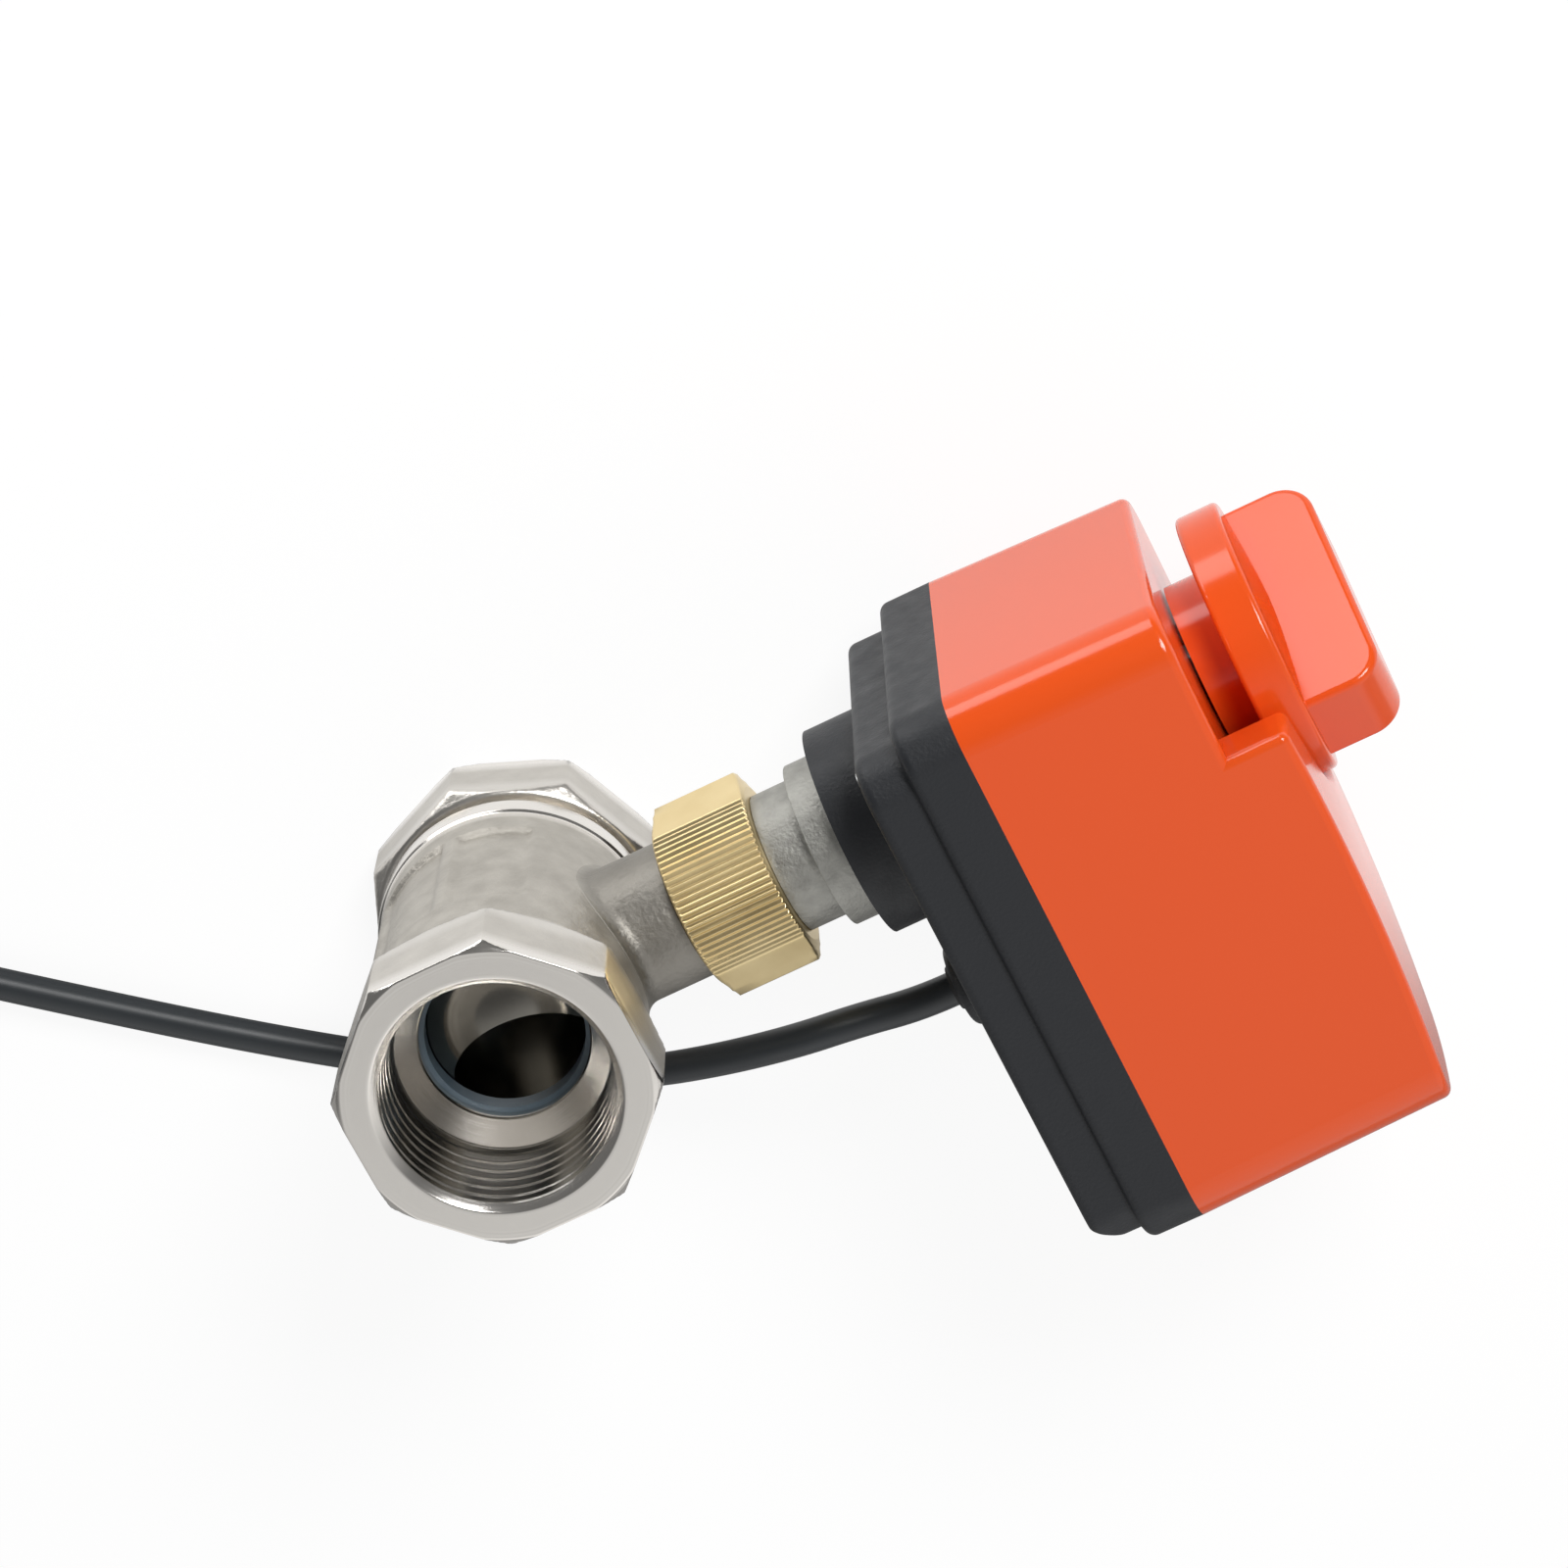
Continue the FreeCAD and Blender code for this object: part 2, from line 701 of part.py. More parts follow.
def make_retaining_ring():
    """Split ring in the spigot's groove, which holds the nut's lip."""
    end_x = ring_place_x + retaining_ring_thickness
    ring = ring_x(neck_thread_radius - fit_gap, adapter_spigot_radius - retaining_ring_depth + fit_gap,
                  ring_place_x, end_x)
    half = retaining_ring_gap / 2
    split = block(ring_place_x - 1, end_x + 1, 0, neck_radius, -half, half)
    save(ring.cut(split), "nut_retaining_ring")


def make_adapter_screws():
    screw = screw_x(adapter_screw_radius, adapter_screw_head_radius, adapter_screw_head_height,
                    adapter_end_x - adapter_screw_depth, cap_x, adapter_screw_circle, 0)
    save(Part.makeCompound(adapter_screw_copies(screw)), "adapter_screws")


def cover_screw_places():
    return [(y, z) for y in (cover_screw_stem_y, cover_screw_long_y)
            for z in (-cover_screw_z, cover_screw_z)]


def post_places():
    z_half = plate_half_width - post_inset
    return [(y, z) for y in (plate_stem_y - post_inset, plate_long_y + post_inset)
            for z in (-z_half, z_half)]


def gear_places():
    """Where the idler and the pinion turn, as y and z from the stem axis."""
    to_output = gear_module * (output_teeth + idler_teeth) / 2
    to_pinion = gear_module * (idler_teeth + pinion_teeth) / 2
    direction = math.radians(idler_direction)
    idler_y = to_output * math.cos(direction)
    idler_z = to_output * math.sin(direction)
    pinion_y = idler_y - math.sqrt(to_pinion ** 2 - idler_z ** 2)
    return (idler_y, idler_z), (pinion_y, 0.0)


def switch_places():
    """Each limit switch: its name, where its cam starts and the side it stands on."""
    return (("lower", cam_lower_x, 1), ("upper", cam_upper_x, -1))


def switch_bottom_x(cam_x):
    return cam_x + (cam_thickness - switch_thickness) / 2


def switch_screw_places(side):
    z = side * (switch_z + switch_height - switch_screw_edge)
    start = switch_start_y + 2 * switch_screw_edge
    end = switch_start_y + switch_length - switch_screw_edge
    return ((start, z), (end, z))


def board_screw_places():
    z_half = board_half_width - board_screw_edge
    return [(y, z) for y in (board_long_y + board_screw_edge, board_stem_y - board_screw_edge)
            for z in (-z_half, z_half)]


def rounded_below(block_shape, x, radius):
    """The block with the edges of its lower end, at x, rounded."""
    lower = [edge for edge in block_shape.Edges if edge.BoundBox.XMax < x + 0.1]
    return block_shape.makeFillet(radius, lower)


def base_hull():
    """Outer shape of the base: bevelled tray, rim and the two round bosses under it."""
    tray_y = long_end_y + tray_inset_long_end
    tray = slab(base_floor_x, base_step_x, tray_y, stem_end_y - tray_inset_stem_end,
                half_width - tray_inset_side, tray_corner)
    tray = rounded_below(tray, base_floor_x, base_round)
    low = base_floor_x - 1
    reach = tray_bevel + 1
    corner = [vector(low, tray_y - 1, 0), vector(low, tray_y + reach, 0),
              vector(low + reach + 1, tray_y - 1, 0), vector(low, tray_y - 1, 0)]
    bevel = Part.Face(Part.makePolygon(corner)).extrude(vector(0, 0, valve_length + 2 * half_width))
    bevel.translate(vector(0, 0, -half_width))
    rim = rounded_below(housing_slab(base_step_x, joint_x, 0.0), base_step_x, base_round)
    boss = rod_x(boss_radius, adapter_end_x, base_floor_x + 1)
    lead_boss = rod_x(lead_boss_radius, lead_boss_x, base_floor_x + 1, lead_y)
    lead_boss = rounded_below(lead_boss, lead_boss_x, base_round)
    return joined([tray.cut(bevel), rim, boss, lead_boss])


def base_columns():
    """Posts on the floor for the screws, the idler's pin, the switches and the board."""
    low = base_floor_x + 1
    columns = [rod_x(screw_boss_radius, low, joint_x, y, z) for y, z in cover_screw_places()]
    (idler_y, idler_z), pinion_place = gear_places()
    idler_top_x = gear_bottom_x - gear_hub_rise - part_gap
    columns.append(rod_x(idler_boss_radius, low, idler_top_x, idler_y, idler_z))
    for name, cam_x, side in switch_places():
        for y, z in switch_screw_places(side):
            columns.append(rod_x(switch_post_radius, low, switch_bottom_x(cam_x), y, z))
    for y, z in board_screw_places():
        columns.append(rod_x(board_post_radius, low, board_x, y, z))
    return columns


def base_cutters():
    """Holes for the shaft's bushing, the screws, the pin, the posts and the lead's gland."""
    below = adapter_end_x - 1
    above = joint_x + 1
    head_end_x = base_floor_x + cover_screw_head_height + part_gap
    cutters = [gasket_shape(fit_gap), rod_x(bushing_radius + fit_gap, below, above)]
    for y, z in cover_screw_places():
        cutters.append(rod_x(cover_screw_radius + screw_gap, below, above, y, z))
        cutters.append(rod_x(cover_screw_head_radius + screw_gap, below, head_end_x, y, z))
    cutters += adapter_screw_copies(rod_x(adapter_screw_radius + screw_gap, below, cap_x + 1,
                                          adapter_screw_circle))
    (idler_y, idler_z), pinion_place = gear_places()
    cutters.append(rod_x(idler_pin_radius, idler_pin_x(), above, idler_y, idler_z))
    for y, z in post_places():
        cutters.append(rod_x(post_radius + fit_gap, cap_x - 1, above, y, z))
    for name, cam_x, side in switch_places():
        for y, z in switch_screw_places(side):
            cutters.append(rod_x(switch_screw_radius + screw_gap, cap_x - 1, above, y, z))
    for y, z in board_screw_places():
        cutters.append(rod_x(board_screw_radius + screw_gap, cap_x - 1, above, y, z))
    cutters.append(rod_x(lead_radius + gland_neck_wall + fit_gap, below, above, lead_y))
    return cutters


def idler_pin_x():
    """Lower end of the idler's pin, inside its boss."""
    return cap_x + 1


def make_base():
    hull = base_hull()
    inner = slab(cap_x, joint_x + 1, inner_long_y, inner_stem_y, half_width - wall - tray_inset_side,
                 tray_corner - wall)
    wide = housing_slab(base_step_x + floor_thickness, joint_x + 1, wall)
    shell = hull.cut(inner).cut(wide)
    solid = joined([shell] + [column.common(hull) for column in base_columns()])
    save(without(solid, base_cutters()), "base")


def gasket_shape(extra):
    """Strip in the middle of the rim's wall, with some extra all round for its groove."""
    inset = (wall - gasket_width) / 2 - extra
    bottom_x = joint_x - gasket_depth - extra
    outer = housing_slab(bottom_x, joint_x + extra, inset)
    return outer.cut(housing_slab(bottom_x - 1, joint_x + 1, inset + gasket_width + 2 * extra))


def make_base_gasket():
    save(gasket_shape(0.0), "base_gasket")


def cover_block(inset):
    """Tapered block of the cover with its gently domed top, drawn in by the inset."""
    crown = crown_x - inset
    body = slab(joint_x, crown, long_end_y + inset, stem_end_y - inset, half_width - inset,
                housing_corner - inset, cover_taper)
    half_length = (stem_end_y - long_end_y) / 2
    dome_radius = half_length ** 2 / (2 * dome_rise)
    middle = vector(crown - dome_radius, (stem_end_y + long_end_y) / 2, axis_z)
    body = body.common(Part.makeSphere(dome_radius, middle))
    reach = 2 * half_length
    shelf = block(shelf_x - inset, crown + reach, shelf_step_y - inset, reach, -reach, reach)
    pocket = rod_x(pocket_radius + inset, shelf_x - inset, crown + reach)
    return body.cut(shelf).cut(pocket)


def outline_distance(point):
    """How far a point of the cover lies inside its tapered outline."""
    inset = cover_taper * (point.x - joint_x) / (crown_x - joint_x)
    y_half = (stem_end_y - long_end_y) / 2 - inset - housing_corner
    z_half = half_width - inset - housing_corner
    y = abs(point.y - (stem_end_y + long_end_y) / 2) - y_half
    z = abs(point.z - axis_z) - z_half
    return housing_corner - math.hypot(max(y, 0), max(z, 0)) - min(max(y, z), 0)


def outer_edges(shape):
    """Edges of the cover's domed top, of the rim round its cut-out and of the shelf's outline."""
    chosen = []
    for edge in shape.Edges:
        first, last = edge.ParameterRange
        places = [edge.valueAt(first + share * (last - first)) for share in (0.02, 0.5, 0.98)]
        on_sides = all(abs(outline_distance(place)) < 0.05 for place in places)
        above_shelf = edge.BoundBox.XMax > shelf_x + edge_round / 2
        if edge.BoundBox.XMin > shelf_x - 0.1 and (on_sides or above_shelf):
            chosen.append(edge)
    return chosen


def make_cover():
    outer = cover_block(0.0)
    outer = outer.makeFillet(edge_round, outer_edges(outer))
    inner = cover_block(wall).fuse(housing_slab(joint_x - 1, joint_x + 0.1, wall))
    shell = outer.cut(inner)
    inside = cover_block(wall / 2)
    columns = [rod_x(screw_boss_radius, joint_x, crown_x, y, z) for y, z in cover_screw_places()]
    collar = rod_x(seal_hole_radius + bushing_thickness, shelf_x - wall - seal_collar_length,
                   shelf_x - wall / 2)
    shell = joined([shell, collar] + [column.common(inside) for column in columns])
    hole_end_x = base_floor_x + cover_screw_length + part_gap
    for y, z in cover_screw_places():
        shell = shell.cut(rod_x(cover_screw_radius + screw_gap, joint_x - 1, hole_end_x, y, z))
    save(shell.cut(rod_x(seal_hole_radius, joint_x, shelf_x + 1)), "cover")


def make_cover_screws():
    screws = []
    head_top = base_floor_x + cover_screw_head_height
    for y, z in cover_screw_places():
        head = rod_x(cover_screw_head_radius, base_floor_x, head_top, y, z)
        shank = rod_x(cover_screw_radius, base_floor_x, base_floor_x + cover_screw_length, y, z)
        reach = cover_screw_head_radius + 1
        half = cover_screw_slot_width / 2
        slot = block(base_floor_x - 1, base_floor_x + cover_screw_head_height / 2, y - reach,
                     y + reach, z - half, z + half)
        screws.append(joined([head, shank]).cut(slot))
    save(Part.makeCompound(screws), "cover_screws")


def grip_bar():
    """Bar across the knob: two round corners at its outer end and softened rims on both sides."""
    half = knob_bar_width / 2
    reach = math.sqrt((knob_disc_radius - knob_bar_inset) ** 2 - half ** 2)
    bottom = knob_disc_x + 1
    bar = block(bottom, knob_top_x, -reach, reach, -half, half)
    corners = [edge for edge in bar.Edges
               if edge.BoundBox.XMin > bottom + 1 and edge.BoundBox.ZLength > half]
    bar = bar.makeFillet(knob_bar_corner, corners)
    rims = [edge for edge in bar.Edges
            if edge.BoundBox.XMax > bottom + 1 and edge.BoundBox.ZLength < half]
    return bar.makeFillet(knob_bar_round, rims)


def make_knob():
    disc = rod_x(knob_disc_radius, knob_disc_x, knob_disc_top_x)
    rims = [edge for edge in disc.Edges if edge.BoundBox.XLength < knob_disc_thickness / 2]
    disc = disc.makeFillet(knob_disc_round, rims)
    shoulder = cone_x(knob_disc_radius - knob_disc_round, knob_cone_top_radius,
                      knob_disc_top_x - fit_gap, knob_disc_top_x + knob_cone_height)
    hub = rod_x(knob_hub_radius, knob_bottom_x, knob_disc_x + 1)
    solid = joined([hub, disc, shoulder, grip_bar()])
    solid = solid.cut(rod_x(shaft_top_radius + fit_gap, knob_bottom_x - 1, shaft_end_x + fit_gap))
    solid = solid.cut(set_screw(screw_gap, knob_hub_radius + 1))
    save(turned_x(solid, knob_turn), "knob")
    save(turned_x(set_screw(0.0, set_screw_length), knob_turn), "knob_set_screw")


def set_screw(extra, length):
    """Small screw across the hub, from the shaft outwards."""
    start = vector((knob_bottom_x + knob_disc_x) / 2, 0, axis_z - shaft_top_radius - fit_gap)
    return Part.makeCylinder(set_screw_radius + extra, length, start, vector(0, 0, -1))


def make_knob_seal_ring():
    end_x = shelf_x - part_gap
    save(ring_x(seal_hole_radius - fit_gap, shaft_top_radius + screw_gap, end_x - seal_ring_length,
                end_x), "knob_seal_ring")


def make_output_shaft():
    lower = rod_x(shaft_radius, shaft_start_x, shaft_step_x)
    upper = rod_x(shaft_top_radius, shaft_step_x - 1, shaft_end_x)
    half = stem_square / 2 + fit_gap
    socket = block(shaft_start_x - 1, stem_end_x + socket_space, -half, half, -half, half)
    socket = socket.common(rod_x(stem_radius + fit_gap, shaft_start_x - 1, stem_end_x + socket_space))
    save(turned_x(joined([lower, upper]).cut(socket), ball_turn), "output_shaft")


def make_bushings():
    inner = shaft_radius + fit_gap
    flange_radius = bushing_radius + bushing_flange_width
    for name, start, seat in (("lower", adapter_end_x + 1, cap_x), ("upper", plate_x - 0.5, plate_top_x)):
        sleeve = ring_x(bushing_radius, inner, start, seat + bushing_flange_height)
        flange = ring_x(flange_radius, inner, seat, seat + bushing_flange_height)
        save(joined([sleeve, flange]), name + "_bushing")


def tooth_angle(teeth, radius):
    """Half of the angle that a tooth covers at a radius outside the base circle."""
    pitch_radius = gear_module * teeth / 2
    pressure = math.radians(pressure_angle)
    base_radius = pitch_radius * math.cos(pressure)
    local = math.acos(min(1.0, base_radius / radius))
    at_pitch = math.pi / (2 * teeth) - tooth_backlash / (2 * pitch_radius)
    return at_pitch + (math.tan(pressure) - pressure) - (math.tan(local) - local)


def gear(teeth, place, phase):
    """Spur gear along X with involute flanks; the middle of one tooth is at the phase angle."""
    y, z = place
    pitch_radius = gear_module * teeth / 2
    tip = pitch_radius + gear_tip_share * gear_module
    root = pitch_radius - gear_root_share * gear_module
    foot = max(root + fit_gap, pitch_radius * math.cos(math.radians(pressure_angle)))
    middle = (foot + tip) / 2

    def point(radius, angle):
        return vector(gear_bottom_x, y + radius * math.cos(angle),
                      axis_z + z + radius * math.sin(angle))

    low = tooth_angle(teeth, foot)
    mid = tooth_angle(teeth, middle)
    high = tooth_angle(teeth, tip)
    step = 2 * math.pi / teeth
    edges = []
    for number in range(teeth):
        centre = phase + number * step
        root_start = point(root, centre - low)
        foot_start = point(foot, centre - low)
        tip_start = point(tip, centre - high)
        tip_end = point(tip, centre + high)
        foot_end = point(foot, centre + low)
        root_end = point(root, centre + low)
        edges.append(Part.LineSegment(root_start, foot_start).toShape())
        edges.append(Part.Arc(foot_start, point(middle, centre - mid), tip_start).toShape())
        edges.append(Part.Arc(tip_start, point(tip, centre), tip_end).toShape())
        edges.append(Part.Arc(tip_end, point(middle, centre + mid), foot_end).toShape())
        edges.append(Part.LineSegment(foot_end, root_end).toShape())
        edges.append(Part.LineSegment(root_end, point(root, centre + step - low)).toShape())
    return Part.Face(Part.Wire(edges)).extrude(vector(gear_thickness, 0, 0))


def mesh_phase(phase, teeth, other_teeth, direction):
    """Phase of a second gear whose gap meets the first gear's tooth along the direction."""
    offset = (phase - direction) * teeth / (2 * math.pi)
    return direction + math.pi + (0.5 - offset) * 2 * math.pi / other_teeth


def make_gears():
    idler_place, pinion_place = gear_places()
    idler_y, idler_z = idler_place
    hub_x0 = gear_bottom_x - gear_hub_rise
    hub_x1 = gear_top_x + gear_hub_rise
    output_phase = math.radians(ball_turn)
    to_idler = math.atan2(idler_z, idler_y)
    idler_phase = mesh_phase(output_phase, output_teeth, idler_teeth, to_idler)
    to_pinion = math.atan2(-idler_z, pinion_place[0] - idler_y)
    pinion_phase = mesh_phase(idler_phase, idler_teeth, pinion_teeth, to_pinion)
    output = joined([gear(output_teeth, (0.0, 0.0), output_phase),
                     rod_x(shaft_radius + gear_hub_wall, hub_x0, hub_x1)])
    save(output.cut(rod_x(shaft_radius, hub_x0 - 1, hub_x1 + 1)), "output_gear")
    idler = joined([gear(idler_teeth, idler_place, idler_phase),
                    rod_x(idler_boss_radius, hub_x0, hub_x1, idler_y, idler_z)])
    bore = rod_x(idler_pin_radius + fit_gap, hub_x0 - 1, hub_x1 + 1, idler_y, idler_z)
    save(idler.cut(bore), "idler_gear")
    save(rod_x(idler_pin_radius, idler_pin_x(), plate_top_x, idler_y, idler_z), "idler_pin")
    shaft = rod_x(motor_shaft_radius, hub_x0, plate_top_x + motor_shaft_depth, pinion_place[0])
    save(joined([gear(pinion_teeth, pinion_place, pinion_phase), shaft]), "motor_pinion")


def motor_screw_places():
    reach = motor_radius + motor_ear_reach
    return [(gear_places()[1][0], side * reach) for side in (-1, 1)]


def make_motor():
    motor_y = gear_places()[1][0]
    can = rod_x(motor_radius, plate_top_x, motor_top_x, motor_y)
    rim = [edge for edge in can.Edges if edge.BoundBox.XMin > motor_top_x - 0.1]
    can = can.makeFillet(motor_round, rim)
    ear_top = plate_top_x + motor_ear_thickness
    places = motor_screw_places()
    solid = joined([can] + [rod_x(motor_ear_radius, plate_top_x, ear_top, y, z) for y, z in places])
    for y, z in places:
        solid = solid.cut(rod_x(motor_screw_radius + screw_gap, plate_top_x - 1, ear_top + 1, y, z))
        solid = solid.cut(rod_x(motor_screw_head_radius + screw_gap, ear_top, ear_top + 2, y, z))
    hole_end = plate_top_x + motor_shaft_depth + fit_gap
    solid = solid.cut(rod_x(motor_shaft_radius + fit_gap, plate_top_x - 1, hole_end, motor_y))
    save(solid, "drive_motor")
    screws = [screw_x(motor_screw_radius, motor_screw_head_radius, motor_screw_head_height,
                      plate_x - 1, ear_top, y, z) for y, z in places]
    save(Part.makeCompound(screws), "motor_screws")


def make_gear_plate():
    (idler_y, idler_z), (motor_y, motor_z) = gear_places()
    low = plate_x - 1
    high = plate_top_x + 1
    plate = slab(plate_x, plate_top_x, plate_long_y, plate_stem_y, plate_half_width, plate_corner)
    cutters = [
        rod_x(bushing_radius + fit_gap, low, high),
        rod_x(idler_pin_radius + fit_gap, low, high, idler_y, idler_z),
        rod_x(motor_shaft_radius + 1, low, high, motor_y, motor_z),
    ]
    for y, z in motor_screw_places():
        cutters.append(rod_x(motor_screw_radius + fit_gap, low, high, y, z))
    posts = []
    screws = []
    tip_x = plate_x - 4 * plate_screw_radius
    for y, z in post_places():
        hole = rod_x(plate_screw_radius + fit_gap, tip_x - part_gap, high, y, z)
        cutters.append(hole)
        posts.append(rod_x(post_radius, cap_x - 1, plate_x, y, z).cut(hole))
        screws.append(screw_x(plate_screw_radius, plate_screw_head_radius, plate_screw_head_height,
                              tip_x, plate_top_x, y, z))
    save(without(plate, cutters), "gear_plate")
    save(Part.makeCompound(posts), "plate_posts")
    save(Part.makeCompound(screws), "plate_screws")


def make_cams():
    """A round cam with one raised lobe for each limit switch."""
    half = math.radians(cam_lobe_turn / 2)
    reach = 2 * cam_lobe_radius
    for name, x0, side in switch_places():
        x1 = x0 + cam_thickness
        outline = [vector(x0, 0, axis_z),
                   vector(x0, reach * math.cos(half), axis_z - reach * math.sin(half)),
                   vector(x0, reach * math.cos(half), axis_z + reach * math.sin(half)),
                   vector(x0, 0, axis_z)]
        wedge = Part.Face(Part.makePolygon(outline)).extrude(vector(cam_thickness, 0, 0))
        lobe = rod_x(cam_lobe_radius, x0, x1).common(wedge)
        cam = joined([rod_x(cam_radius, x0, x1), lobe]).cut(rod_x(shaft_radius, x0 - 1, x1 + 1))
        save(turned_x(cam, 90.0 * side), "cam_" + name)


def switch_body(x0):
    """Limit switch with the ear that its lever hangs on, on the +Z side of the shaft."""
    x1 = x0 + switch_thickness
    middle = (x0 + x1) / 2
    half = lever_ear_width / 2
    ear_half = 2 * lever_pin_radius
    body = joined([
        block(x0, x1, switch_start_y, switch_start_y + switch_length, switch_z,
              switch_z + switch_height),
        block(middle - half, middle + half, lever_pin_y - ear_half, lever_pin_y + ear_half,
              lever_pin_z - ear_half, switch_z + ear_half),
    ])
    return body.cut(rod_x(lever_pin_radius + fit_gap, x0, x1, lever_pin_y, lever_pin_z))


def switch_lever(x0):
    """Spring lever with its pin: two cheeks beside the ear and a long flat strip."""
    middle = x0 + switch_thickness / 2
    half = lever_width / 2
    inner = lever_ear_width / 2 + screw_gap
    cheek_top = lever_pin_z + lever_cheek_rise
    strip_y = lever_pin_y + 3 * lever_pin_radius
    strip_end = switch_start_y + switch_length - 1
    cheeks = [block(middle + low, middle + high, lever_pin_y - lever_cheek_width,
                    strip_y + lever_thickness, lever_z, cheek_top)
              for low, high in ((inner, half), (-half, -inner))]
    strip = block(middle - half, middle + half, strip_y, strip_end, lever_z,
                  lever_z + lever_thickness)
    pin = rod_x(lever_pin_radius, middle - half, middle + half, lever_pin_y, lever_pin_z)
    return joined([strip, pin] + cheeks)


def make_limit_switches():
    screws = []
    middle = vector(0, 0, axis_z)
    for name, cam_x, side in switch_places():
        x0 = switch_bottom_x(cam_x)
        x1 = x0 + switch_thickness
        body = switch_body(x0)
        lever = switch_lever(x0)
        if side < 0:
            body = body.mirror(middle, along_z)
            lever = lever.mirror(middle, along_z)
        for y, z in switch_screw_places(side):
            body = body.cut(rod_x(switch_screw_radius + screw_gap, x0 - 1, x1 + 1, y, z))
            screws.append(screw_x(switch_screw_radius, switch_screw_head_radius,
                                  switch_screw_head_height, cap_x + fit_gap, x1, y, z))
        save(body, "limit_switch_" + name)
        save(lever, "switch_lever_" + name)
    save(Part.makeCompound(screws), "switch_screws")


def terminal_places():
    step = 2 * terminal_half_width / terminal_ways
    return [-terminal_half_width + step * (number + 0.5) for number in range(terminal_ways)]


def terminal_wire_x():
    return board_top_x + terminal_height / 2


def make_board():
    board = block(board_x, board_top_x, board_long_y, board_stem_y, -board_half_width,
                  board_half_width)
    screws = []
    for y, z in board_screw_places():
        board = board.cut(rod_x(board_screw_radius + screw_gap, board_x - 1, board_top_x + 1, y, z))
        screws.append(screw_x(board_screw_radius, board_screw_head_radius, board_screw_head_height,
                              cap_x + fit_gap, board_top_x, y, z))
    save(board, "circuit_board")
    save(Part.makeCompound(screws), "board_screws")
    terminal_top_x = board_top_x + terminal_height
    terminal = block(board_top_x, terminal_top_x, terminal_face_y - terminal_depth, terminal_face_y,
                     -terminal_half_width, terminal_half_width)
    half = terminal_opening / 2
    x = terminal_wire_x()
    for z in terminal_places():
        terminal = terminal.cut(block(x - half, x + half, terminal_face_y - terminal_depth * 0.6,
                                      terminal_face_y + 1, z - half, z + half))
    save(terminal, "terminal_block")
    z0 = -board_half_width + part_gap
    y0 = (board_long_y + board_stem_y - capacitor_length) / 2
    capacitor = block(board_top_x, board_top_x + capacitor_height, y0, y0 + capacitor_length, z0,
                      z0 + capacitor_width)
    save(capacitor.makeFillet(capacitor_round, capacitor.Edges), "capacitor")


def make_lead_entry():
    """Gland with a tapered lip, its clamp and the lead's end inside the housing."""
    top_x_inside = cap_x + gland_flange_thickness
    neck = lead_radius + gland_neck_wall
    bore = rod_x(lead_radius + fit_gap, gland_tip_x - 1, inner_lead_end_x, lead_y)
    gland = joined([
        cone_x(lead_radius + gland_tip_wall, neck, gland_tip_x, lead_boss_x, lead_y),
        rod_x(neck, lead_boss_x, top_x_inside, lead_y),
        rod_x(lead_radius + gland_flange_wall, cap_x, top_x_inside, lead_y),
    ])
    save(gland.cut(bore), "lead_gland")
    clamp = block(top_x_inside, top_x_inside + clamp_thickness, lead_y - clamp_half_width,
                  lead_y + clamp_half_width, -clamp_half_length, clamp_half_length)
    save(clamp.cut(bore), "lead_clamp")
    save(rod_x(lead_radius, gland_tip_x, inner_lead_end_x, lead_y), "lead_inner_end")
    wires = []
    terminals = terminal_places()
    for number, z in enumerate(terminals):
        offset = (number - (len(terminals) - 1) / 2) * (2 * conductor_radius + fit_gap)
        wires.append(inner_wire(axis_z + offset, axis_z + z))
    save(Part.makeCompound(wires), "inner_conductors")


def inner_wire(start_z, terminal_z):
    """Conductor from the lead's inner end, round a bend, into its terminal."""
    x = terminal_wire_x()
    lift = inner_lead_end_x + wire_lift
    points = [vector(inner_lead_end_x, lead_y, start_z), vector(lift, lead_y, start_z),
              vector(lift, lead_y - wire_bend, start_z),
              vector(x, terminal_face_y + wire_lead_in, terminal_z),
              vector(x, terminal_face_y - wire_depth, terminal_z)]
    return tube(points, conductor_radius)


def arc_path(points):
    """Straight runs joined by tangent arcs, each as large as its two runs allow."""
    edges = []
    radii = []
    last = points[0]
    for before, corner, after in zip(points, points[1:], points[2:]):
        back = before.sub(corner)
        ahead = after.sub(corner)
        reach = 0.45 * min(back.Length, ahead.Length)
        back.normalize()
        ahead.normalize()
        half_turn = (math.pi - back.getAngle(ahead)) / 2
        radius = reach / math.tan(half_turn)
        start = corner.add(vector(back).multiply(reach))
        end = corner.add(vector(ahead).multiply(reach))
        inward = back.add(ahead).normalize()
        middle = corner.add(inward.multiply(radius / math.cos(half_turn) - radius))
        edges.append(Part.LineSegment(last, start).toShape())
        edges.append(Part.Arc(start, middle, end).toShape())
        radii.append(round(radius, 1))
        last = end
    edges.append(Part.LineSegment(last, points[-1]).toShape())
    print("arc radii", radii)
    return edges


def swept(edges, radius, start, direction):
    """Round tube along a path, with its volume set against its section times its length."""
    path = Part.Wire(edges)
    profile = Part.Wire([Part.Circle(start, direction, radius).toShape()])
    solid = path.makePipeShell([profile], True, False)
    expected = math.pi * radius ** 2 * path.Length
    print("tube length", round(path.Length, 1), "volume share", round(solid.Volume / expected, 4))
    return solid


def tube(points, radius):
    return swept(arc_path(points), radius, points[0], points[1].sub(points[0]))


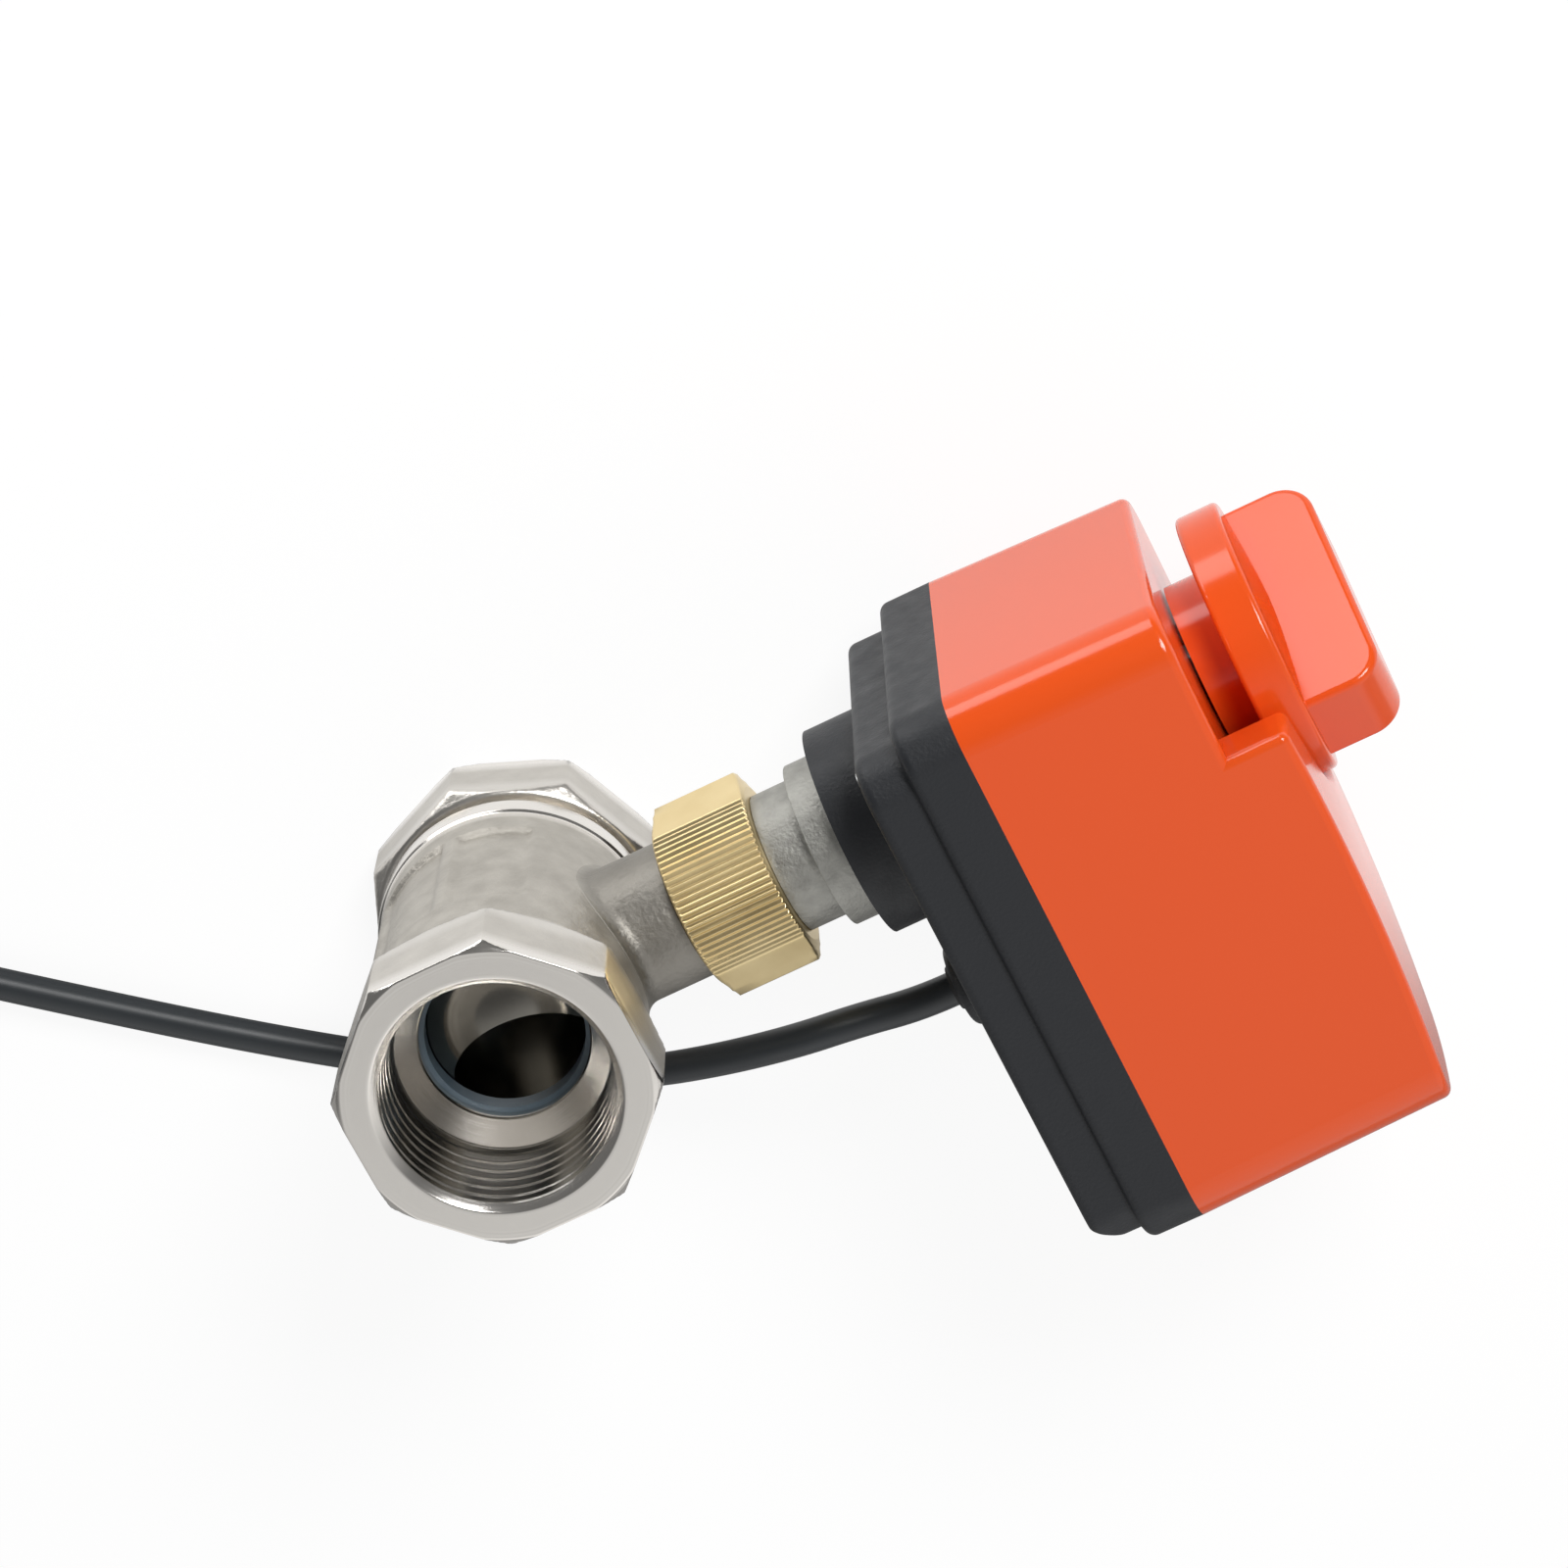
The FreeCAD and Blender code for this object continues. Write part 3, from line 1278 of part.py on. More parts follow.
def biarc(start, leave, end, arrive):
    """Two tangent arcs between two points whose directions are opposite."""
    reach = end.sub(start).Length / 2
    first_corner = start.add(vector(leave).multiply(reach))
    second_corner = end.sub(vector(arrive).multiply(reach))
    middle = first_corner.add(second_corner).multiply(0.5)
    edges = []
    for a, corner, b in ((start, first_corner, middle), (middle, second_corner, end)):
        chord_middle = a.add(b).multiply(0.5)
        half_chord = b.sub(a).Length / 2
        to_corner = corner.sub(chord_middle)
        radius = math.hypot(half_chord, half_chord ** 2 / to_corner.Length)
        rise = radius - half_chord ** 2 / to_corner.Length
        on_arc = chord_middle.add(to_corner.normalize().multiply(rise))
        edges.append(Part.Arc(a, on_arc, b).toShape())
    return edges


def coil_heading():
    """Directions at the coil's start: along the lead, and from the coil's centre to the lead."""
    angle = math.radians(coil_heading_degrees)
    return vector(math.cos(angle), math.sin(angle), 0), vector(math.sin(angle), -math.cos(angle), 0)


def coil_start():
    return vector(coil_start_place[0], coil_start_place[1], coil_low_z)


def coil_centre(height):
    """The coil's axis, one straight diameter past the coil's start."""
    along, outward = coil_heading()
    place = coil_start().add(along.multiply(lead_diameter)).sub(outward.multiply(coil_outer_radius))
    return vector(place.x, place.y, height)


def free_route():
    """Hand-chosen points of the lead from its gland down to the surface and along it."""
    along, outward = coil_heading()
    return [
        vector(gland_tip_x, lead_y, axis_z),
        vector(51.5, lead_y, axis_z),
        vector(42.3, -26.9, 36.7),
        vector(32.1, -27.2, 33.2),
        vector(19.2, -28.6, 23.9),
        vector(5.9, -29.6, 13.1),
        vector(-3.2, -28.3, 6.2),
        vector(-13.4, -24.6, lead_low_z),
        vector(-24.3, -18.6, lead_low_z),
        vector(-37.0, -9.6, lead_low_z),
        vector(-51.7, 1.8, lead_low_z),
        vector(-69.9, 16.8, lead_low_z),
        coil_start().sub(along.multiply(coil_run_in)),
        coil_start(),
    ]


def coil_stations():
    """Radius and height at each half turn: in, up one layer, out and down to the surface."""
    inner = coil_inner_radius
    return [
        (coil_outer_radius, coil_low_z),
        (coil_outer_radius - coil_drop, coil_low_z),
        (inner, coil_low_z),
        (inner, coil_high_z),
        (inner + coil_drop, coil_high_z),
        (inner + 2 * coil_drop, coil_high_z),
        (inner + 3 * coil_drop, coil_high_z),
        (inner + 4 * coil_drop, coil_low_z),
    ]


def coil_points():
    """Each half turn's point and the direction of the lead there."""
    points = []
    for number, (radius, height) in enumerate(coil_stations()):
        along, outward = coil_heading()
        side = 1 if number % 2 == 0 else -1
        points.append((coil_centre(height).add(outward.multiply(side * radius)),
                       along.multiply(side)))
    return points


def least_gap(edges):
    """Least clearance between stretches of the tube that lie more than a diameter apart along it."""
    points = Part.Wire(edges).discretize(Distance=1.5)
    skip = 20
    nearest = min(points[a].sub(points[b]).Length
                  for a in range(len(points)) for b in range(a + skip, len(points)))
    return nearest - lead_diameter


def make_lead():
    save(tube(free_route(), lead_radius), "power_lead")
    stations = coil_points()
    edges = [Part.LineSegment(coil_start(), stations[0][0]).toShape()]
    for (start, leave), (end, arrive) in zip(stations, stations[1:]):
        edges.extend(biarc(start, leave, end, arrive))
    last, heading = stations[-1]
    end = last.add(vector(heading).multiply(lead_diameter))
    edges.append(Part.LineSegment(last, end).toShape())
    print("coil least gap to itself", round(least_gap(edges), 2))
    save(swept(edges, lead_radius, coil_start(), stations[0][1]), "lead_coil")
    make_tie()
    make_bare_end(end, heading)


def make_tie():
    """Strap round the bundle, a quarter turn before the coil's start."""
    along, outward = coil_heading()
    low_r = coil_inner_radius + coil_drop / 2 - lead_radius - tie_slack
    high_r = coil_inner_radius + 2.5 * coil_drop + lead_radius + tie_slack
    low_z = coil_low_z - lead_radius - fit_gap
    high_z = coil_high_z + lead_radius + tie_slack
    shapes = []
    for grow, width in ((tie_thickness, tie_width), (0.0, tie_width + 2)):
        solid = Part.makeBox(high_r - low_r + 2 * grow, width, high_z - low_z + 2 * grow,
                             vector(low_r - grow, -width / 2, low_z - grow))
        cross = [edge for edge in solid.Edges if edge.BoundBox.YLength > width - 0.1]
        shapes.append(solid.makeFillet(tie_round + grow, cross))
    strap = shapes[0].cut(shapes[1])
    strap.rotate(vector(0, 0, 0), along_z, math.degrees(math.atan2(outward.y, outward.x)) - 90.0)
    strap.translate(coil_centre(0.0))
    save(strap, "lead_tie")


def make_bare_end(end, heading):
    """Three conductors out of the jacket's end, spread on the surface, with stripped tips."""
    aside = vector(-heading.y, heading.x, 0)
    low = conductor_radius + fit_gap
    spacing = 2 * conductor_radius + fit_gap
    conductors = []
    tips = []
    for number, spread in enumerate(bare_end_spreads):
        sides = [(number - 1) * spacing] * 2 + list(spread)
        points = []
        for share, reach, side in zip(bare_end_falls, bare_end_reaches, sides):
            place = end.add(vector(heading).multiply(reach)).add(vector(aside).multiply(side))
            points.append(vector(place.x, place.y, end.z + (low - end.z) * share))
        conductors.append(tube(points, conductor_radius))
        direction = points[-1].sub(points[-2])
        tips.append(Part.makeCylinder(conductor_radius / 2, stripped_length, points[-1], direction))
    save(Part.makeCompound(conductors), "lead_conductors")
    save(Part.makeCompound(tips), "conductor_tips")


make_valve_body()
make_end_connector()
make_body_joint_seal()
make_ball()
make_seats()
make_stem()
make_packing()
save(Part.makeCompound(locating_pin_solids()), "locating_pins")
make_union_nut()
make_adapter()
make_retaining_ring()
make_adapter_screws()
make_base()
make_base_gasket()
make_cover()
make_cover_screws()
make_knob()
make_knob_seal_ring()
make_output_shaft()
make_bushings()
make_gears()
make_motor()
make_gear_plate()
make_cams()
make_limit_switches()
make_board()
make_lead_entry()
make_lead()
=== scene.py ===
import math

import bmesh
import bpy
import numpy as np
from mathutils import Matrix, Vector


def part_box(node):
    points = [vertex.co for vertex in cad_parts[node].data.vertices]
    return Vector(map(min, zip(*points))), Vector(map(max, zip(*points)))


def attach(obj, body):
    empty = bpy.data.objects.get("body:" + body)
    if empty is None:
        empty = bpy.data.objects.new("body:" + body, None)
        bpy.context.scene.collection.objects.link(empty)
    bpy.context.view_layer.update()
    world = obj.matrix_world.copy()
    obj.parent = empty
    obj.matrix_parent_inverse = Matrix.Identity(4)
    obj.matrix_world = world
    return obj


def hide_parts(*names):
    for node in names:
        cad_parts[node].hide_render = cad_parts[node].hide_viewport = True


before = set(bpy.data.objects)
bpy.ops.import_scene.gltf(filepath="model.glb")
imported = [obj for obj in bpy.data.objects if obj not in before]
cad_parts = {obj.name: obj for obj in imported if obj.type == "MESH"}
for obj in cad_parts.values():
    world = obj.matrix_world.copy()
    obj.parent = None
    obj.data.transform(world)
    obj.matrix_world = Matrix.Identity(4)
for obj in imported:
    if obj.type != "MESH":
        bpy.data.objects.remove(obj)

bl_info = {
    "name": "Motorized Ball Valve",
    "version": (1, 0, 0),
    "blender": (4, 5, 0),
    "location": "3D View > Sidebar > Valve",
    "description": "Dresses the motorized ball valve: ports, body, housing, lead and studio",
    "category": "Mesh",
}

# Lengths in this file are millimetres until they are multiplied by MM
MM = 0.001
STEM_Z = 37.5


# Small helpers for meshes, curves and materials

def linear(text):
    """Linear colour with alpha from an sRGB hex value."""
    parts = np.array([int(text[i:i + 2], 16) / 255 for i in (1, 3, 5)])
    parts = np.where(parts <= 0.04045, parts / 12.92, ((parts + 0.055) / 1.055) ** 2.4)
    return (*parts.tolist(), 1.0)


def add(tree, kind, sockets=None, **settings):
    """Adds one node with its own settings. A socket takes a value, another node's output or
    another node, which then means the first of its outputs that is in use."""
    made = tree.nodes.new(kind)
    for name, value in settings.items():
        setattr(made, name, value)
    for name, value in (sockets or {}).items():
        if isinstance(value, bpy.types.Node):
            value = next(output for output in value.outputs if output.enabled)
        if isinstance(value, bpy.types.NodeSocket):
            tree.links.new(value, made.inputs[name])
        else:
            made.inputs[name].default_value = value
    return made


def empty_tree(owner):
    """Node tree of a material or a world, with nothing in it."""
    owner.use_nodes = True
    owner.node_tree.nodes.clear()
    return owner.node_tree


def new_material(name, **values):
    """Material with a bare shader, and its skin: the tree, the shader and the object's
    coordinates. The values go on the shader's own sockets, `Colour` as a linear triple."""
    if "Colour" in values:
        values["Base Color"] = (*values.pop("Colour"), 1.0)
    material = bpy.data.materials.new(name)
    tree = empty_tree(material)
    shader = add(tree, "ShaderNodeBsdfPrincipled", values)
    add(tree, "ShaderNodeOutputMaterial", {"Surface": shader})
    return material, (tree, shader, add(tree, "ShaderNodeTexCoord").outputs["Object"])


def varied(skin, dark, light, scale, detail=4.0, stretch=(1, 1, 1)):
    """Colour that wanders between two tones with a noise whose lumps are 1 / scale metres."""
    tree, shader, where = skin
    mapping = add(tree, "ShaderNodeMapping", {"Vector": where, "Scale": stretch})
    noise = add(tree, "ShaderNodeTexNoise", {"Vector": mapping, "Scale": scale, "Detail": detail})
    mix = add(tree, "ShaderNodeMix", {"Factor": noise, "A": linear(dark), "B": linear(light)},
              data_type="RGBA")
    tree.links.new(mix.outputs["Result"], shader.inputs["Base Color"])
    return noise


def bumped(skin, height, strength, distance):
    """Bump from a height, after any bump the shader already has."""
    tree, shader = skin[:2]
    before = shader.inputs["Normal"].links
    bump = add(tree, "ShaderNodeBump", {"Height": height, "Strength": strength,
                                        "Distance": distance})
    if before:
        tree.links.new(before[0].from_socket, bump.inputs["Normal"])
    tree.links.new(bump.outputs["Normal"], shader.inputs["Normal"])


def grained(skin, scale, detail, strength, distance):
    """Fine grain on the skin: a noise whose lumps are 1 / scale metres, as a bump."""
    grain = add(skin[0], "ShaderNodeTexNoise",
                {"Vector": skin[2], "Scale": scale, "Detail": detail})
    bumped(skin, grain, strength, distance)


def clouded(skin, scale, detail, low, high):
    """Roughness that wanders between two limits in clouds of 1 / scale metres."""
    cloud = add(skin[0], "ShaderNodeTexNoise",
                {"Vector": skin[2], "Scale": scale, "Detail": detail})
    roughened(skin, cloud, low, high)


def roughened(skin, noise, low, high):
    """Lets the roughness wander between two limits with a noise."""
    tree, shader = skin[:2]
    span = add(tree, "ShaderNodeMapRange", {"Value": noise, "From Min": 0.1, "From Max": 0.9,
                                            "To Min": low, "To Max": high})
    tree.links.new(span.outputs["Result"], shader.inputs["Roughness"])


def surface(name, points, along=False, extra=()):
    """Mesh from a grid of points in metres. The second index runs round the piece and closes, the
    first runs along it and closes if `along` is set; open ends get a fan to their middle. Extra
    shells, each a grid with its own `along`, join the mesh."""
    vertices, faces = [], []
    for grid, loop in ((points, along), *extra):
        rows, columns = grid.shape[:2]
        base = sum(len(v) for v in vertices)
        left = base + np.arange(rows * columns).reshape(rows, columns)
        right = np.roll(left, -1, axis=1)
        quads = np.stack([left, right, np.roll(right, -1, axis=0), np.roll(left, -1, axis=0)],
                         axis=-1)
        corners = grid.reshape(-1, 3)
        solid = (quads if loop else quads[:-1]).reshape(-1, 4).tolist()
        if not loop:
            corners = np.vstack([corners, grid[0].mean(axis=0), grid[-1].mean(axis=0)])
            first = np.full(columns, base + rows * columns)
            solid += np.stack([right[0], left[0], first], axis=-1).tolist()
            solid += np.stack([left[-1], right[-1], first + 1], axis=-1).tolist()
        if signed_volume(corners, solid, base) < 0:
            solid = [face[::-1] for face in solid]
        vertices.append(corners)
        faces.extend(solid)
    mesh = bpy.data.meshes.new(name)
    mesh.from_pydata(np.vstack(vertices).tolist(), [], faces)
    mesh.validate()
    mesh.polygons.foreach_set("use_smooth", np.ones(len(mesh.polygons), bool))
    return placed(name, mesh)


def signed_volume(corners, faces, base):
    """Volume of a closed shell from the tetrahedra between its triangles and the origin."""
    tris = np.array([[f[0], f[i], f[i + 1]] for f in faces for i in range(1, len(f) - 1)]) - base
    a, b, c = (corners[tris[:, k]] for k in range(3))
    return float(np.einsum("ij,ij->i", a, np.cross(b, c)).sum())


def placed(name, data):
    """Object of a mesh, curve, lamp or camera, linked to the scene."""
    made = bpy.data.objects.new(name, data)
    bpy.context.scene.collection.objects.link(made)
    return made


def float_attribute(piece, name, values):
    """One float on each vertex, for a material to read."""
    layer = piece.data.attributes.new(name, "FLOAT", "POINT")
    layer.data.foreach_set("value", np.asarray(values, np.float32))


def softened(profile, radius, steps=4):
    """Polyline whose corners are rounded: each corner gives way to a quadratic bend that starts
    and ends up to `radius` from it. Points on a straight run stay as they are."""
    profile = np.asarray(profile, float)
    out = [profile[0]]
    for before, corner, after in zip(profile[:-2], profile[1:-1], profile[2:]):
        back, ahead = before - corner, after - corner
        if abs(back[0] * ahead[1] - back[1] * ahead[0]) < 1e-9:
            out.append(corner)
            continue
        reach = min(radius, 0.45 * np.linalg.norm(back), 0.45 * np.linalg.norm(ahead))
        start = corner + back / np.linalg.norm(back) * reach
        end = corner + ahead / np.linalg.norm(ahead) * reach
        for t in np.linspace(0, 1, steps + 1):
            out.append((1 - t) ** 2 * start + 2 * t * (1 - t) * corner + t ** 2 * end)
    out.append(profile[-1])
    return np.array(out)


def finish_piece(piece, material, body, stands_for=()):
    """Gives a piece its material, the body it rides on and the nodes it stands for."""
    piece.data.materials.clear()
    piece.data.materials.append(material)
    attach(piece, body)
    if stands_for:
        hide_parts(*stands_for)


def softened_copy(node, width, segments=3, angle=38.0):
    """Copy of a carried-over node with its sharp edges rolled over: the copy's doubles are merged,
    its flat parts joined, and a Bevel modifier rounds every edge steeper than the angle."""
    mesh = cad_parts[node].data.copy()
    built = bmesh.new()
    built.from_mesh(mesh)
    bmesh.ops.remove_doubles(built, verts=built.verts, dist=1e-6)
    bmesh.ops.dissolve_limit(built, angle_limit=math.radians(0.3), verts=built.verts,
                             edges=built.edges)
    built.to_mesh(mesh)
    built.free()
    mesh.polygons.foreach_set("use_smooth", np.ones(len(mesh.polygons), bool))
    mesh.set_sharp_from_angle(angle=math.radians(angle))
    piece = placed(node + "_finished", mesh)
    bevel = piece.modifiers.new("rolled_edges", "BEVEL")
    bevel.width = width
    bevel.segments = segments
    bevel.limit_method = "ANGLE"
    bevel.angle_limit = math.radians(angle)
    bevel.miter_outer = "MITER_ARC"
    flat = piece.modifiers.new("flat_faces", "WEIGHTED_NORMAL")
    flat.mode = "FACE_AREA"
    flat.weight = 100
    flat.keep_sharp = True
    return piece


def dress(material, *nodes):
    """Gives carried-over nodes a material."""
    for name in nodes:
        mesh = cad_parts[name].data
        mesh.materials.clear()
        mesh.materials.append(material)


# Sizes and colours that a user would change

def length(name, text, value):
    """A length that the user can change, given in millimetres."""
    return bpy.props.FloatProperty(name=name, description=text, default=value * MM, min=0.0,
                                   subtype="DISTANCE", unit="LENGTH", precision=5)


def colour(name, text, value):
    """A colour that the user can change, given as an sRGB hex value."""
    return bpy.props.FloatVectorProperty(name=name, description=text, default=linear(value)[:3],
                                         min=0.0, max=1.0, subtype="COLOR")


class ValveSizes(bpy.types.PropertyGroup):
    """Lengths of the ports and the lead"""
    thread_pitch: length("Thread pitch", "Distance from one turn of a port's thread to the next",
                         2.309)
    thread_height: length("Thread height", "From the crest of a port's thread to its root", 0.25)
    mouth_bevel: length("Mouth bevel", "Radial width of the bevel and taper at a port's mouth",
                        2.2)
    corner_round: length("Corner rounding", "Rounding of the octagons' upright edges", 0.45)
    lead_diameter: length("Lead diameter", "Outside diameter of the lead's jacket", 5.0)
    lead_length: length("Lead length", "Real length of the lead, its coil included", 864.0)


class ValveColours(bpy.types.PropertyGroup):
    """Colours of the mouldings, the lead and the studio"""
    cover: colour("Cover", "Moulded cover and knob", "#EA5418")
    base: colour("Base", "Moulded base of the housing", "#1F2125")
    jacket: colour("Jacket", "Vinyl jacket of the lead", "#22272B")
    backdrop: colour("Backdrop", "Floor and background", "#FFFFFF")


# Materials

def nickel_finish():
    """Nickel plated brass. Cast skin: warm grey, satin, with sand grain of about 1 mm and cloudy
    patches of 4 mm. Turned faces: brighter and smoother, with rings 0.3 mm apart that follow the
    tool. Darkened: a darker tone; in the ports' threads it is painted shade that stands for the
    dark inside of the bore, and the neck has it too, less where it meets the barrel."""
    material, skin = new_material("nickel_plated_brass", Metallic=1.0, Roughness=0.3)
    tree, shader, where = skin
    turned, track, darkened = (add(tree, "ShaderNodeAttribute", attribute_name=name).outputs["Fac"]
                           for name in ("turned", "track", "darkened"))
    mottle = add(tree, "ShaderNodeTexNoise", {"Vector": where, "Scale": 240.0, "Detail": 6.0})
    rings = add(tree, "ShaderNodeTexNoise", {"W": track, "Scale": 3.2, "Detail": 4.0},
                noise_dimensions="1D")
    grain = add(tree, "ShaderNodeTexNoise", {"Vector": where, "Scale": 1100.0, "Detail": 5.0})
    tone = linear("#9C978E")
    # The last tone is the darkened one: painted shade in the ports' threads, and a darker neck
    for factor, other in ((mottle, "#D3CFC7"), (turned, "#E6E2DC"), (darkened, "#6F6C66")):
        tone = add(tree, "ShaderNodeMix", {"Factor": factor, "A": tone, "B": linear(other)},
                   data_type="RGBA")
    tree.links.new(tone.outputs["Result"], shader.inputs["Base Color"])
    rough_cast, rough_turned = (
        add(tree, "ShaderNodeMapRange", {"Value": noise, "To Min": low, "To Max": high})
        for noise, low, high in ((mottle, 0.4, 0.64), (rings, 0.12, 0.24)))
    rough = add(tree, "ShaderNodeMix", {"Factor": turned, "A": rough_cast, "B": rough_turned})
    tree.links.new(rough.outputs["Result"], shader.inputs["Roughness"])
    uncut = add(tree, "ShaderNodeMath", {0: 1.0, 1: turned}, operation="SUBTRACT")
    for noise, share, strength, distance in ((grain, uncut, 0.4, 0.0004),
                                             (rings, turned, 0.12, 0.0001)):
        height = add(tree, "ShaderNodeMath", {0: noise, 1: share}, operation="MULTIPLY")
        bumped(skin, height, strength, distance)
    return material


def brass_finish():
    """Machined brass: pale yellow metal with a soft sheen and faint dull patches of 7 mm."""
    material, skin = new_material("machined_brass", Metallic=1.0, Roughness=0.32)
    noise = varied(skin, "#DFC68F", "#F6E3B4", 150.0, 5.0)
    roughened(skin, noise, 0.26, 0.42)
    grained(skin, 1800.0, 3.0, 0.1, 0.0001)
    return material


def zinc_finish():
    """Die cast zinc, shot blasted: dull grey, mottled in patches of about 2.4 mm, with pits of
    half a millimetre."""
    material, skin = new_material("cast_zinc", Metallic=1.0, Roughness=0.55)
    noise = varied(skin, "#7E7D78", "#C6C5BF", 420.0, 7.0)
    roughened(skin, noise, 0.45, 0.68)
    bumped(skin, noise, 0.3, 0.0004)
    grained(skin, 1900.0, 3.0, 0.4, 0.0003)
    return material


def orange_finish(colour_value):
    """Injection moulded ABS from a polished mould: saturated colour under a glassy skin, with
    the faintest grain, drawn 0.4 mm wide so that it shows at all."""
    material, skin = new_material("moulded_orange_abs", Roughness=0.14, IOR=1.5,
                                  Colour=colour_value)
    clouded(skin, 35.0, 2.0, 0.1, 0.2)
    grained(skin, 2600.0, 2.0, 0.04, 0.00006)
    return material


def black_finish(name, colour_value, rough):
    """Injection moulded nylon or ABS from a spark eroded mould: dark grey with a fine grain of
    about half a millimetre, softly shining."""
    material, skin = new_material(name, Roughness=rough, IOR=1.48, Colour=colour_value)
    grained(skin, 2000.0, 3.0, 0.35, 0.0002)
    clouded(skin, 300.0, 4.0, rough - 0.1, rough + 0.12)
    return material


def plastic_finish(name, dark, light, rough):
    """Moulded plastic or rubber: its tone wanders slightly and its skin is uneven, both in
    patches of 2.5 mm."""
    material, skin = new_material(name, Roughness=rough, IOR=1.48)
    noise = varied(skin, dark, light, 400.0, 3.0)
    bumped(skin, noise, 0.1, 0.0001)
    return material


def steel_finish(name, dark, light, rough):
    """Machined or rolled metal: lines 2 mm wide and 10 mm long, lighter and duller by turns."""
    material, skin = new_material(name, Metallic=1.0, Roughness=rough)
    noise = varied(skin, dark, light, 500.0, 4.0, (0.2, 1, 1))
    roughened(skin, noise, rough - 0.06, rough + 0.08)
    bumped(skin, noise, 0.12, 0.0001)
    return material


def chrome_finish():
    """Hard chromium on brass: smooth, with a slight haze in patches of 5 mm."""
    material, skin = new_material("polished_chromium", Metallic=1.0, Roughness=0.16)
    noise = varied(skin, "#8C8981", "#A5A199", 200.0, 2.0)
    roughened(skin, noise, 0.14, 0.24)
    return material


def board_finish():
    """Solder mask over glass laminate: green lacquer over copper tracks about 4 mm apart."""
    material, skin = new_material("circuit_board_lacquer", Roughness=0.3, IOR=1.5)
    tree, shader, where = skin
    tracks = add(tree, "ShaderNodeTexBrick",
                 {"Vector": where, "Color1": linear("#0D5A33"), "Color2": linear("#127043"),
                  "Mortar": linear("#0A4427"), "Scale": 260.0, "Mortar Size": 0.04})
    tree.links.new(tracks.outputs["Color"], shader.inputs["Base Color"])
    bumped(skin, tracks.outputs["Fac"], 0.3, 0.0001)
    return material


def jacket_finish(colour_value):
    """Soft vinyl jacket: near black, slightly waxy, with a faint extrusion grain of 1 mm."""
    material, skin = new_material("vinyl_jacket", Roughness=0.42, IOR=1.53, Colour=colour_value,
                                  **{"Coat Weight": 0.1, "Coat Roughness": 0.3})
    grained(skin, 900.0, 3.0, 0.1, 0.0001)
    clouded(skin, 70.0, 2.0, 0.36, 0.48)
    return material


# Power lead

# The coil's first turn leaves its start along ALONG, and OUTWARD points there from its middle
LEAD_Y = -28.2
LEAD_LOW = 2.55
COIL_RADIUS = 31.8
COIL_PITCH = 6.6
COIL_LOW = 3.3
COIL_RISE = 6.4
COIL_RUN_IN = 20.25
COIL_HEADING = math.radians(137.2)
COIL_START = np.array([-103.28, 46.62, COIL_LOW])
ALONG = np.array([math.cos(COIL_HEADING), math.sin(COIL_HEADING), 0.0])
OUTWARD = np.array([math.sin(COIL_HEADING), -math.cos(COIL_HEADING), 0.0])
CONDUCTORS = (("brown", "#5B3420", "#6B4028"), ("blue", "#1F4E8C", "#2A5FA3"),
              ("black", "#1B1B1C", "#252527"))


def free_route():
    """Points of the lead from its gland down to the floor and along it to the coil, in mm."""
    return np.array([
        (56.8, LEAD_Y, STEM_Z), (51.5, LEAD_Y, STEM_Z), (42.3, -26.9, 36.7), (32.1, -27.2, 33.2),
        (19.2, -28.6, 23.9), (5.9, -29.6, 13.1), (-3.2, -28.3, 6.2), (-13.4, -24.6, LEAD_LOW),
        (-24.3, -18.6, LEAD_LOW), (-37.0, -9.6, LEAD_LOW), (-51.7, 1.8, LEAD_LOW),
        (-69.9, 16.8, LEAD_LOW), COIL_START - ALONG * COIL_RUN_IN, COIL_START,
    ])


def coil_centre(diameter):
    """Middle of the coil: one radius inwards from where the first turn starts."""
    return COIL_START + ALONG * diameter - OUTWARD * COIL_RADIUS


def coil_turns(diameter, per_turn=16):
    """Points of the coil, 16 to a turn. The radius shrinks by half a pitch in each half turn over
    two half turns, stays while the lead climbs one layer, then grows to the end, where the lead
    comes down to the floor outside the lower layer. Each point stands a little outside the turn,
    by one over the cosine of half a step, so that the smooth curve lies on it."""
    radii = COIL_RADIUS - COIL_PITCH / 2 * np.array([0, 1, 2, 2, 1, 0, -1, -2])
    heights = COIL_LOW + COIL_RISE * np.array([0, 0, 0, 1, 1, 1, 1, 0])
    step = 2 * math.pi / per_turn
    angle = (np.arange((len(radii) - 1) * per_turn // 2) + 0.5) * step
    place = angle / math.pi
    radius = np.interp(place, np.arange(len(radii)), radii) / math.cos(step / 2)
    low = np.floor(place).astype(int)
    share = place - low
    share = share * share * (3 - 2 * share)
    height = heights[low] * (1 - share) + heights[low + 1] * share
    centre = coil_centre(diameter)
    turns = centre + radius[:, None] * (np.cos(angle)[:, None] * OUTWARD
                                        + np.sin(angle)[:, None] * ALONG)
    turns[:, 2] = height
    return np.vstack([turns, centre - OUTWARD * radii[-1] - ALONG * diameter])


def once_round(count):
    """Even angles once round."""
    return np.linspace(0, 2 * math.pi, count, endpoint=False)


def smooth_curve(name, points, diameter):
    """Round curve on a smooth spline whose control points are given in millimetres."""
    data = bpy.data.curves.new(name, "CURVE")
    data.dimensions = "3D"
    data.bevel_depth = diameter / 2
    data.bevel_resolution = 6
    data.resolution_u = data.render_resolution_u = 8
    data.use_fill_caps = True
    spline = data.splines.new("NURBS")
    spline.points.add(len(points) - 1)
    for point, place in zip(spline.points, np.array(points) * MM):
        point.co = (*place, 1.0)
    spline.order_u = 3
    spline.use_endpoint_u = True
    return placed(name, data)


